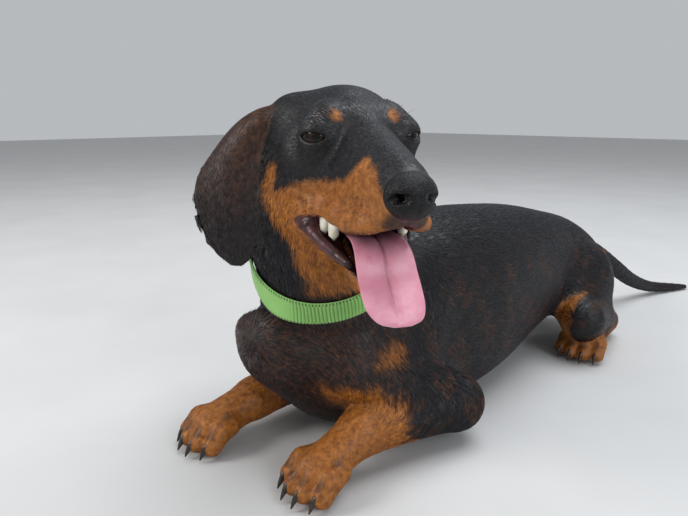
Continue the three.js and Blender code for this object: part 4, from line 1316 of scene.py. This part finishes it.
def webbing_material():
    made = Finish("collar_webbing")
    weave = made.node("Attribute", attribute_name="weave").outputs["Vector"]
    split = made.node("SeparateXYZ", {0: weave}).outputs
    along = made.maths("SINE", made.maths("MULTIPLY", split[0], 6.2832 / 0.75))
    across = made.maths("SINE", made.maths("MULTIPLY", split[1], 6.2832 / 0.9))
    threads = made.maths("MULTIPLY", along, across)
    fuzz = made.noise(made.place(), 1400, 3)
    green = made.between(threads, -0.8, 0.8, (0.17, 0.42, 0.085), (0.30, 0.60, 0.155))
    worn = made.spread(made.noise(made.place(), 60, 2), 0.4, 0.7, 0, 0.35)
    color = made.blend(worn, green, rgb(0.38, 0.66, 0.22))
    # Painted shade: the valleys between the ribs are darkened
    shaded_ribs = made.blend(made.value("valley_shade"), color, rgb(0.085, 0.24, 0.04))
    stitch = made.blend(made.value("stitch"), shaded_ribs, rgb(0.03, 0.075, 0.02))
    height = made.maths("ADD", made.maths("MULTIPLY", threads, 0.5), fuzz)
    made.looks(
        Base_Color=stitch,
        Roughness=made.spread(fuzz, 0.3, 0.7, 0.55, 0.85),
        Normal=made.bump(height, 0.5, 0.00025),
    )
    made.looks(Sheen_Weight=0.25, Sheen_Roughness=0.5)
    return made.made


def plastic_material():
    made = Finish("buckle_plastic")
    grain = made.noise(made.place(), 1600, 2)
    patches = made.noise(made.place(), 90, 3)
    color = made.between(patches, 0.4, 0.7, (0.012, 0.012, 0.013), (0.028, 0.028, 0.03))
    made.looks(
        Base_Color=color,
        Roughness=made.spread(grain, 0.3, 0.7, 0.35, 0.55),
        Normal=made.bump(grain, 0.25, 0.0002),
    )
    return made.made


def steel_material():
    made = Finish("ring_steel")
    scuff = made.noise(made.place(), 500, 4)
    color = made.between(scuff, 0.4, 0.7, (0.62, 0.62, 0.63), (0.45, 0.45, 0.46))
    made.looks(Base_Color=color, Metallic=1.0, Roughness=made.spread(scuff, 0.3, 0.7, 0.16, 0.34))
    made.looks(Normal=made.bump(scuff, 0.1, 0.0002))
    return made.made


def floor_material():
    made = Finish("pale_floor")
    soft = made.noise(made.place(), 6, 3)
    color = made.between(soft, 0.3, 0.7, (0.50, 0.50, 0.495), (0.54, 0.54, 0.535))
    made.looks(Base_Color=color, Roughness=0.75)
    return made.made


# Skin and coat

skin, skin_points, skin_normals = skin_piece()
tan = tan_of(skin_points)
rust = rust_of(skin_points)
mouth = mouth_of(skin_points, skin_normals)
skin_q = to_head(skin_points)
# Painted shade deep in the mouth: strongest near the middle and towards the back, darkening the lining
# there
deep = smooth_step((30 - np.abs(skin_q[:, 1])) / 18) * smooth_step((70 - skin_q[:, 0]) / 40)
lie = smoothed(lie_of(skin_points, skin_normals), edges_of(skin), 14)
lie = along_surface(lie, skin_normals)
pad = edge(skin_points[:, 2] - 2.6, 1.2) * (paws(skin_points) < 3) * smooth_step(-skin_normals[:, 2] * 2)
for label, values in (("tan", tan), ("rust", rust), ("mouth", mouth), ("deep", deep), ("pad", pad)):
    attribute(skin, label, values)
FLESH = ["torso", "neck", "head", "jaw", "tail", "ear_left", "ear_right"]
for part in ("foreleg", "forepaw", "hindleg", "hindpaw"):
    FLESH += [part + "_left", part + "_right"]
finish_piece(skin, skin_material(), "coat_black", *FLESH)


def hair_look(p):
    """Length and width of a tuft, tufts for each square millimetre, and height of its end, by place."""
    q = to_head(p)
    on_head = edge(head(p) - 5, 6) * (q[:, 0] + 0.9 * q[:, 2] > -110)
    front = smooth_step((q[:, 0] + 10) / 60) * on_head
    on_ear = edge(ears(p) - 2, 1) * (np.abs(q[:, 1]) > 40) * (q[:, 2] > -95)
    on_paw = edge(paws(p) - 3, 3)
    length = 8 - 4.3 * on_head - 1.1 * front - 3.2 * on_ear * (1 - on_head) - 4.2 * on_paw
    width = 0.78 - 0.28 * on_head - 0.1 * front - 0.4 * on_ear * (1 - on_head) - 0.35 * on_paw
    dense = 0.5 + 0.8 * on_head + 0.5 * on_ear + 0.4 * on_paw
    high = 0.6 - 0.42 * np.maximum(np.maximum(on_head, on_paw), on_ear)
    return np.maximum(length, 2.2), np.maximum(width, 0.4), dense, high


def skin_triangles():
    skin.data.calc_loop_triangles()
    n = len(skin.data.loop_triangles)
    corners, loops = np.zeros(n * 3, np.int32), np.zeros(n * 3, np.int32)
    skin.data.loop_triangles.foreach_get("vertices", corners)
    skin.data.loop_triangles.foreach_get("loops", loops)
    uv = np.zeros(len(skin.data.loops) * 2, np.float32)
    skin.data.uv_layers["OFBake"].data.foreach_get("uv", uv)
    return corners.reshape(-1, 3), uv.reshape(-1, 2)[loops.reshape(-1, 3)]


def bare_places(p):
    """Where no hair grows: lips, mouth, eyes, nose leather, pads and under the collar."""
    q = to_head(p)
    bare = mouth_of(p) > 0.35
    bare |= (lid_gaps(q) < 1.3) | (nose_leather(q) < 0.6)
    bare |= (np.abs((p - COLLAR_AT) @ COLLAR_UP) < 7) & (neck(p) < 5) & (q[:, 0] > -150)
    bare |= p[:, 2] < 1.6
    return bare


def grow_coat():
    corners, uvs = skin_triangles()
    a, b, c = [skin_points[corners[:, k]] for k in range(3)]
    area = np.linalg.norm(np.cross(b - a, c - a), axis=1) / 2
    centre = (a + b + c) / 3
    dense = hair_look(centre)[2]
    want = area * dense
    total = int(min(want.sum(), COAT_TUFTS))
    pick = np.searchsorted(np.cumsum(want) / want.sum(), np.sort(rng.random(total)))
    pick = np.minimum(pick, len(corners) - 1)
    u, v = rng.random(total), rng.random(total)
    fold = u + v > 1
    u[fold], v[fold] = 1 - u[fold], 1 - v[fold]
    share = np.stack([1 - u - v, u, v], 1)

    def at_roots(values):
        return (values[corners[pick]] * share[..., None]).sum(1)

    root = at_roots(skin_points)
    keep = ~bare_places(root)
    pick, share, root = pick[keep], share[keep], root[keep]
    normal = unit(at_roots(skin_normals))
    way = along_surface(at_roots(lie), normal)
    side = np.cross(normal, way)
    stray = rng.normal(0, 0.13, len(root))[:, None]
    way = way * np.cos(stray) + side * np.sin(stray)
    side = np.cross(normal, way)
    uv = (uvs[pick] * share[..., None]).sum(1)
    length, width, dense, high = hair_look(root)
    length = length * rng.uniform(0.75, 1.2, len(root))
    width = width * rng.uniform(0.7, 1.25, len(root))
    high = high * rng.uniform(0.5, 1.35, len(root))
    tip = root + way * length[:, None]
    rise = flesh(tip) - fold_height(tip)
    on_ear = ears(root) < 2
    length[on_ear & (rise > 0.3 * length)] = 0.6
    short = 1 - 0.75 * np.clip(rise / length, 0, 1)
    length, rise = length * short, rise * short**2
    tip = root + way * length[:, None]
    rise = np.clip(rise, -length * 0.6, length * 0.6)
    tip = tip + normal * (high - rise)[:, None]
    lost = on_ear & (np.abs(ears(tip)) > 1.8)
    tip[lost] = root[lost] + way[lost] * 0.5
    middle = root + way * (0.45 * length)[:, None] + normal * (0.55 * high - 0.25 * rise)[:, None]
    half = (side.T * width / 2).T
    points = np.stack([
        root - normal * 0.35,
        middle + half,
        middle - half,
        middle + normal * (0.3 * width)[:, None],
        tip,
    ], 1)
    points[..., 2] = np.maximum(points[..., 2], 0.15)
    facing = normal + rng.normal(0, 0.09, (len(root), 3))
    facing = np.stack([facing, facing + 0.55 * side, facing - 0.55 * side, facing, facing + 0.2 * way], 1)
    rust = rust_of(root)
    rust = np.where(ears(root) < 3, rust, np.clip(rust * rng.uniform(0, 2.6, len(root)) ** 2, 0, 1))
    pale = brow_hairs(to_head(root)) * (rng.random(len(root)) < 0.22)
    marks = dict(tan=tan_of(root), rust=rust, pale=pale, shade=rng.beta(2, 2, len(root)))
    return root, points, uv, unit(facing), marks


TUFT_FACES = np.array([[0, 3, 1], [0, 2, 3], [0, 1, 2], [4, 1, 3], [4, 3, 2], [4, 2, 1]])
TUFT_PATCH = np.array([[0, 0], [1, 1], [-1, 1], [0, 1.2], [0, 2]]) * 0.0015


def coat_regions(root):
    q = to_head(root)
    on_head = (head(root) < 3) & (q[:, 2] > -90) & (q[:, 0] > -85)
    ear = (ears(root) < 2) & (np.abs(q[:, 1]) > 36)
    legs = (root[:, 2] < 60) & ((root[:, 1] < -100) | (root[:, 1] > 90)) & (np.abs(root[:, 0]) > 34)
    region = np.where(root[:, 1] > 70, 5, np.where(root[:, 1] > -60, 4, 3))
    region = np.where((region == 4) & (root[:, 0] < 0), 6, region)
    region[(region == 3) & (root[:, 2] > 118)] = 9
    region[legs] = 2
    region[legs & (root[:, 1] > 0)] = 10
    region[(root[:, 1] > 235)] = 7
    region[on_head & (q[:, 1] < 0)] = 0
    region[on_head & (q[:, 1] >= 0)] = 8
    region[ear] = 1
    return region


REGION_NAMES = ["head_right", "ears", "forelegs", "chest", "flank_left", "rump", "flank_right", "tail"]
REGION_NAMES += ["head_left", "neck", "hindlegs"]


def coat_pieces():
    root, points, uv, facing, marks = grow_coat()
    region = coat_regions(root)
    material = hair_material()
    for number, name in enumerate(REGION_NAMES):
        here = np.flatnonzero(region == number)
        n = len(here)
        faces = (TUFT_FACES[None] + 5 * np.arange(n)[:, None, None]).reshape(-1, 3)
        made = piece_of("coat_" + name, points[here].reshape(-1, 3), faces)
        for label, values in marks.items():
            attribute(made, label, np.repeat(values[here], 5))
        layer = made.data.uv_layers.new(name="OFBake")
        patch = (uv[here][:, None] + TUFT_PATCH).reshape(-1, 2)
        layer.data.foreach_set("uv", patch[faces.ravel()].astype(np.float32).ravel())
        finish_piece(made, material, "coat_black")
        made.data.normals_split_custom_set_from_vertices(facing[here].reshape(-1, 3))


coat_pieces()

# Bare parts of the face


def eyes():
    material = eye_material()
    for side, word in ((LEFT, "left"), (RIGHT, "right")):
        deselect()
        bpy.ops.mesh.primitive_uv_sphere_add(segments=48, ring_count=32, radius=(EYE_RADIUS - 0.1) / 1000)
        made = bpy.context.object
        made.name = f"eyeball_{word}"
        co = np.array([v.co for v in made.data.vertices]) * 1000
        gaze = from_axes(math.cos(math.radians(22)), side * math.sin(math.radians(22)), -0.05)
        turned = np.array(Vector((0, 0, 1)).rotation_difference(Vector(gaze)).to_matrix())
        angle = np.arccos(np.clip(co[:, 2] / np.linalg.norm(co, axis=1), -1, 1))
        co *= (1 + 0.05 * smooth_step(1 - angle / 0.62))[:, None]
        put(made, co @ turned.T + from_head([EYE_BACK, side * EYE_OUT, EYE_UP]))
        attribute(made, "ring", angle)
        finish_piece(made, material, "eye", f"eye_{word}")


def nose():
    points, quads = grown_mesh(nose_leather, [66, -20, -44], [98, 20, -6], 1.1)
    rims = np.concatenate([quads[:, [a, b]] for a, b in ((0, 1), (1, 2), (2, 3), (3, 0))])
    edges = np.unique(np.sort(rims, 1), axis=0)
    for attempt in range(2):
        points, normal = settled(nose_leather, points, 1)
        points = spread_evenly(points, normal, edges)
    points, normal = settled(nose_leather, points, 1)
    front = smooth_step((points[:, 0] - 84) / 5) * smooth_step((-20 - points[:, 2]) / 6)
    groove = -0.6 * bell(points[:, 1], 0.7) * front
    points = points + normal * groove[:, None]
    made = piece_of("nose_pad", from_head(points), quads)
    finish_piece(made, nose_material(), "nose_leather", "nose")


TONGUE_PATH = np.array([
    [0, -12, -60],
    [0.2, 10, -58],
    [0.38, 30, -58.5],
    [0.5, 41, -64],
    [0.66, 49, -77],
    [0.8, 57, -88],
    [0.93, 62.5, -96],
    [1, 64, -99],
])
tongue_run, tongue_rise = through(TONGUE_PATH[:, [0, 1]]), through(TONGUE_PATH[:, [0, 2]])
tongue_wide = through([[0, 13], [0.4, 16], [0.6, 17.5], [0.8, 17.5], [0.9, 15], [0.96, 11], [1, 5]])
tongue_lean = through([[0, 0], [0.5, 0], [0.8, 1.5], [1, 4]])


def tongue_place(s, t):
    groove = 1.6 * bell(t, 0.16) * np.minimum(1, (1 - s) * 6)
    curl = 1.8 * t * t * np.minimum(1, (1 - s) * 3)
    forward, left = tongue_run(s) + curl * 0.6, tongue_lean(s) + tongue_wide(s) * t
    return from_head(np.stack([forward, left, tongue_rise(s) + curl - groove], -1))


def tongue_half(s, t):
    end = np.where(s > 0.85, 1 - 0.5 * (s - 0.85) / 0.15, 1)
    return TONGUE_THICK / 2 * (1 - 0.55 * t * t) * end * np.sqrt(np.maximum(1 - t**6, 0.02))


def tongue():
    points, quads = sheet(tongue_place, tongue_half, 72, 36)
    made = piece_of("tongue_flesh", points, quads)
    s = np.repeat(np.linspace(0, 1, 73), 72)
    # Painted shade along the tongue's middle groove, fading out near the tip
    groove = bell(to_head(points)[:, 1], 1) * smooth_step((0.9 - s) / 0.2)
    attribute(made, "groove", groove * 0.75)
    # Painted shade at the tongue's root, inside the mouth
    attribute(made, "deep", smooth_step((0.42 - s) / 0.25))
    finish_piece(made, tongue_material(), "tongue", "tongue")


def tooth(at, radius, height, way, curve=0.0, blunt=1.6):
    """A curved cone from its root to its point, in the head's frame. A cheek tooth is blunter."""
    rings, around = 7, 12
    points = []
    for i in range(rings):
        s = i / (rings - 1)
        r = radius * (1 - s**blunt) ** (1.2 / blunt) if i < rings - 1 else radius * 0.06
        for j in range(around):
            a = 2 * math.pi * j / around
            forward = r * math.cos(a) - curve * s * s
            points.append([forward, min(0.78 * r, 3.2) * math.sin(a), way * (height * s - 3)])
    points = np.array(points)
    return points + at, faced_out(points, tube_faces(rings, around))


def joined(name, parts):
    """One mesh from several, each with points in the head's frame."""
    points, faces, start = [], [], 0
    for p, f in parts:
        points.append(p)
        faces += [[v + start for v in face] for face in f]
        start += len(p)
    return piece_of(name, from_head(np.concatenate(points)), faces)


def teeth():
    material = tooth_material()
    upper, lower = [], []
    for side in (LEFT, RIGHT):
        for f, l, u, r, h, c in (
            (62, 9, -42, 3, 6, 1.5), (50, 13, -44, 2.4, 5, 0), (40, 15, -46, 3, 7.5, 0),
            (28, 18, -46, 3.8, 9.5, 0), (15, 21.5, -45, 7, 17.5, 0), (2, 23.5, -45, 6.6, 16, 0),
        ):
            upper.append(tooth([f, side * l, u], r, h, -1, c, 2.3 if r > 5 else 1.6))
        for l in (1.5, 4.4):
            upper.append(tooth([69 - 0.2 * l, side * l, -41], 1.5, 4, -1))
            lower.append(tooth([62 - 0.2 * l, side * l * 0.8, -37.5], 1.2, 4.5, 1))
        for f, l, u, r, h, c in (
            (55, 7.5, -37.5, 2.6, 7, 2), (41, 11.5, -38, 2.8, 4, 0),
            (31, 13, -38, 3.2, 4, 0), (20, 15, -38, 3.6, 4, 0),
        ):
            lower.append(tooth([f, side * l, u], r, h, 1, c))
    lower = [(opened(p), f) for p, f in lower]
    finish_piece(joined("teeth_upper", upper), material, "eye")
    finish_piece(joined("teeth_lower", lower), material, "eye")


def claw_at(root, tip, radius=3.1):
    """A claw that curves down from its root to its point, in the dog's frame."""
    rings, around = 8, 12
    axis = tip - root
    up = np.array([0, 0, 1.0])
    side = unit(np.cross(axis, up))
    top = unit(np.cross(side, axis))
    points = []
    for i in range(rings):
        s = i / (rings - 1)
        r = radius * (1 - 0.82 * s**1.8)
        centre = root + axis * s + up * 2.2 * math.sin(math.pi * s) * 0.6
        for j in range(around):
            a = 2 * math.pi * j / around
            points.append(centre + side * r * 0.75 * math.cos(a) + top * r * math.sin(a))
    return to_head(np.array(points)), tube_faces(rings, around)


def claws():
    material = claw_material()
    for kind in ("fore", "hind"):
        parts = []
        for side in (LEFT, RIGHT):
            for root, tip, way in toe_lines[kind, side]:
                start = tip + way * 3
                start[2] = 12
                end = tip + way * (3.2 + CLAW)
                end[2] = 2.6
                parts.append(claw_at(start, end))
        made = joined(f"claws_{kind}", parts)
        turned_out(made)
        finish_piece(made, material, "nose_leather")


def bristle(root, way, length, radius, sag):
    """One stiff hair, in the head's frame, that thins and sags towards its end."""
    rings, around = 8, 5
    way = unit(way)
    side = unit(np.cross(way, [0, 0, 1.0]))
    top = np.cross(side, way)
    s = np.linspace(0, 1, rings)[:, None, None]
    a = np.linspace(0, 2 * np.pi, around, endpoint=False)[None, :, None]
    r = radius * (1 - 0.85 * s)
    middle = root + way * length * s - np.array([0, 0, sag]) * s**2
    points = middle + r * (side * np.cos(a) + top * np.sin(a))
    return points.reshape(-1, 3), tube_faces(rings, around)


def whiskers():
    parts = []
    for side in (LEFT, RIGHT):
        roots = [(f, l, u, 12 + 0.2 * (70 - f), 0.1) for f, l, u in WHISKER_ROOTS[::2]]
        roots += [(7, 24, 14, 13, 0.12), (3, 26, 13, 11, 0.12)]
        roots += [(-26, 48, -24, 13, 0.12), (-28, 48, -28, 11, 0.12)]
        for f, l, u, length, radius in roots:
            spot = np.array([[f, side * 58.0, u]])
            for attempt in range(14):
                spot[0, 1] -= side * head_and_jaw(spot)[0] * 0.9
            up = 0.7 if u > 0 else -0.25
            way = np.array([-0.75, side * 0.8, up]) + rng.normal(0, 0.1, 3)
            length = length * rng.uniform(0.8, 1.2)
            parts.append(bristle(spot[0] - [0, side * 1.2, 0], way, length, radius, 2.5))
    made = joined("whiskers", parts)
    turned_out(made)
    finish_piece(made, claw_material("whisker_hair"), "nose_leather")


eyes()
nose()
tongue()
whiskers()
teeth()
claws()

# Collar


def collar_ways(angle):
    return np.cos(angle)[:, None] * COLLAR_OUT + np.sin(angle)[:, None] * COLLAR_SIDE


def collar_reach(steps, rows):
    """Distance from the collar's middle to the neck, at each step round it and each row across it."""
    out = collar_ways(np.linspace(0, 2 * np.pi, steps, endpoint=False))
    start = COLLAR_AT + rows[:, None, None] * COLLAR_WIDTH * COLLAR_ACROSS
    r = np.full((len(rows), steps), 20.0)
    for attempt in range(60):
        p = (start + out[None] * r[..., None]).reshape(-1, 3)
        d = np.maximum(whole_dog(p), neck(p) - 4).reshape(r.shape)
        r = np.minimum(r + np.where(d < -0.01, np.maximum(0.05, -d * 0.5), 0), 90)
    return r


def evened(values, shift):
    """Each row's values, evened with those some steps to both sides."""
    return (np.roll(values, shift, 1) + 2 * values + np.roll(values, -shift, 1)) / 4


def collar():
    rows = np.array([-0.5, 0, 0.5])
    reach = evened(collar_reach(COLLAR_PROBES, rows), 1)
    steps = 900
    turns = np.linspace(0, COLLAR_PROBES, steps, endpoint=False)
    fine = np.stack([np.interp(turns, np.arange(COLLAR_PROBES + 1), np.append(r, r[0])) for r in reach])
    for attempt in range(12):
        fine = evened(fine, 6)
    angle = turns / COLLAR_PROBES * 2 * np.pi
    out = collar_ways(angle)
    across = np.array([-0.5, -0.49, -0.44, -0.38, -0.25, -0.1, 0.1, 0.25, 0.38, 0.44, 0.49, 0.5])
    middle = out * fine[1][:, None]
    girth = np.cumsum(np.linalg.norm(np.diff(middle, axis=0, append=middle[:1]), axis=1))
    ribbed = smooth_step((np.cos(angle - RIBS_AT) - 0.6) / 0.1)
    wave = np.cos(girth * 2 * np.pi / RIB_PITCH)
    points, weave, valley_shade, stitch = [], [], [], []
    for layer, order in ((1, across), (0, across[::-1])):
        for w in order:
            r = np.array([np.interp(w, rows, column) for column in fine.T])
            edge_round = math.sqrt(max(0, 1 - (abs(w) / 0.505) ** 12))
            if layer:
                rib_height = 0.34 if abs(w) < 0.36 else 0.085
                r = r + COLLAR_GAP + COLLAR_THICK * (0.5 + 0.5 * edge_round) + rib_height * ribbed * wave
            else:
                r = r + COLLAR_GAP + 0.5 * COLLAR_THICK * (1 - edge_round)
            points.append(COLLAR_AT + w * COLLAR_WIDTH * COLLAR_ACROSS + out * r[:, None])
            weave.append(np.stack([girth, 0 * girth + w * COLLAR_WIDTH, 0 * girth + layer], 1))
            # Painted shade in the valleys between the ribs, on the middle of the webbing
            valley_shade.append(ribbed * smooth_step(-wave * 1.2) * 0.85 * (abs(w) < 0.4))
            dash = smooth_step((np.sin(girth * 2 * np.pi / STITCH_PITCH) + 0.2) * 2)
            stitch.append(dash * (0.95 if layer and 0.42 < abs(w) < 0.5 else 0.0))
    points = np.stack(points, 1).reshape(-1, 3)
    quads = faced_out(points - COLLAR_AT, quads_between(steps, 2 * len(across), closed=True))
    made = piece_of("collar_webbing", points, np.array(quads))
    attribute(made, "weave", np.stack(weave, 1).reshape(-1, 3))
    for label, values in (("valley_shade", valley_shade), ("stitch", stitch)):
        attribute(made, label, np.stack(values, 1).ravel())
    finish_piece(made, webbing_material(), "collar_webbing", "collar_band")


def nape_place(made, reach, aside):
    """Puts a piece modelled round the origin, in metres, on the collar at the nape."""
    nape = collar_ways(np.array([NAPE_TURN * 2 * math.pi]))[0]
    x = unit(np.cross(nape, COLLAR_ACROSS))
    axes = np.array([x, nape, np.cross(x, nape)])
    neck_reach = collar_reach(COLLAR_PROBES, np.array([0.0]))[0, round(NAPE_TURN * COLLAR_PROBES)]
    far = neck_reach + COLLAR_GAP + COLLAR_THICK
    co = np.array([v.co for v in made.data.vertices]) * 1000
    put(made, COLLAR_AT + nape * (far + reach) + x * aside + co @ axes)


def block(size, at, bevel, recess=None):
    """A moulded block with rounded edges. The recess is a shallow panel in its outer face."""
    deselect()
    bpy.ops.mesh.primitive_cube_add(size=1, location=[v / 1000 for v in at])
    made = bpy.context.object
    bpy.ops.object.mode_set(mode="EDIT")
    bpy.ops.mesh.select_all(action="SELECT")
    bpy.ops.transform.resize(value=[v / 1000 for v in size])
    bpy.ops.mesh.bevel(offset=bevel / 1000, segments=4, affect="EDGES")
    bpy.ops.object.mode_set(mode="OBJECT")
    if recess:
        outer = max(made.data.polygons, key=lambda face: face.normal.y * face.area)
        for face in made.data.polygons:
            face.select = face.index == outer.index
        bpy.ops.object.mode_set(mode="EDIT")
        bpy.ops.mesh.select_mode(type="FACE")
        bpy.ops.mesh.inset(thickness=recess / 1000, depth=0)
        bpy.ops.mesh.inset(thickness=0.0004, depth=-0.0007)
        bpy.ops.object.mode_set(mode="OBJECT")
    bpy.ops.object.transform_apply(location=True, rotation=True, scale=True)
    return made


def buckle():
    blocks = [
        block((17, 6, 18.4), (-7, 0, 0), 1.5, 2.2),
        block((8, 5.6, 18.4), (11.5, 0, 0), 1.3, 1.6),
        block((7, 4.2, 2.6), (5, 0, 7.2), 0.8),
        block((7, 4.2, 2.6), (5, 0, -7.2), 0.8),
        block((7, 2.6, 5), (5, 0, 0), 0.6),
        block((3, 1.6, 15), (-16.4, -1.4, 0), 0.6),
        block((3, 1.6, 15), (16.2, -1.4, 0), 0.6),
    ]
    for number in range(3):
        blocks.append(block((1, 0.9, 9), (-11 + 2.2 * number, 2.6, 0), 0.3))
    only(*blocks)
    bpy.ops.object.join()
    made = blocks[0]
    made.name = "buckle"
    nape_place(made, 3.6, 0)
    finish_piece(made, plastic_material(), "buckle_plastic", "collar_buckle")


def ring():
    """A ring of bent wire, flat on the side where it hangs in the webbing, with its weld."""
    deselect()
    size = dict(major_radius=RING_RADIUS / 1000, minor_radius=0.0012)
    bpy.ops.mesh.primitive_torus_add(**size, major_segments=72, minor_segments=20)
    made = bpy.context.object
    made.name = "ring"
    co = np.array([v.co for v in made.data.vertices])
    along = np.arctan2(co[:, 1], co[:, 0])
    centre = np.stack([np.cos(along), np.sin(along), 0 * along], 1) * RING_RADIUS / 1000
    weld = 1 + 0.16 * bell(along, 0.09) - 0.1 * bell(np.abs(along) - 0.17, 0.05)
    co = centre + (co - centre) * weld[:, None]
    co[:, 0] += 0.0022 * bell(np.abs(along) - np.pi, 0.5)
    for vertex, spot in zip(made.data.vertices, co):
        vertex.co = spot
    nape_place(made, 3.6, 28.5)
    finish_piece(made, steel_material(), "ring_steel", "collar_ring")


collar()
buckle()
ring()

# Floor, light and camera

deselect()
bpy.ops.mesh.primitive_plane_add(size=12, location=(0, 0, -0.0002))
floor = bpy.context.object
floor.name = "floor"
floor.data.materials.append(floor_material())


def soft_light(name, at, aim, size, power, color=(1, 1, 1)):
    data = bpy.data.lights.new(name, "AREA")
    data.shape = "DISK"
    data.size = size
    data.energy = power
    data.color = color
    made = bpy.data.objects.new(name, data)
    bpy.context.collection.objects.link(made)
    made.location = at
    made.rotation_euler = (Vector(aim) - Vector(at)).to_track_quat("-Z", "Y").to_euler()


soft_light("sky_light", (0.2, 0.3, 1.9), (0, -0.1, 0.15), 1.6, 32, (0.93, 0.96, 1.0))
soft_light("key_light", (-0.9, -1.7, 1.3), (0, -0.25, 0.15), 0.9, 22, (1.0, 0.98, 0.95))
soft_light("side_light", (1.7, -0.5, 0.9), (0, -0.1, 0.15), 1.0, 12, (0.95, 0.97, 1.0))
bpy.context.scene.view_settings.view_transform = "Standard"
world = bpy.data.worlds.new("studio")
world.use_nodes = True
world.node_tree.nodes["Background"].inputs[0].default_value = (0.86, 0.89, 0.93, 1)
world.node_tree.nodes["Background"].inputs[1].default_value = 0.55
bpy.context.scene.world = world

camera_data = bpy.data.cameras.new("camera")
camera_data.lens = LENS
camera_data.sensor_width = 36
camera = bpy.data.objects.new("camera", camera_data)
bpy.context.collection.objects.link(camera)
eyes_middle = from_head([EYE_BACK, 0, EYE_UP])
camera.location = to_row(eyes_middle + CAMERA_FROM_EYES)
pitch = math.radians(CAMERA_PITCH)
look = Vector((-math.cos(pitch) * math.sqrt(0.5), math.cos(pitch) * math.sqrt(0.5), -math.sin(pitch)))
camera.rotation_euler = look.to_track_quat("-Z", "Y").to_euler()
bpy.context.scene.camera = camera
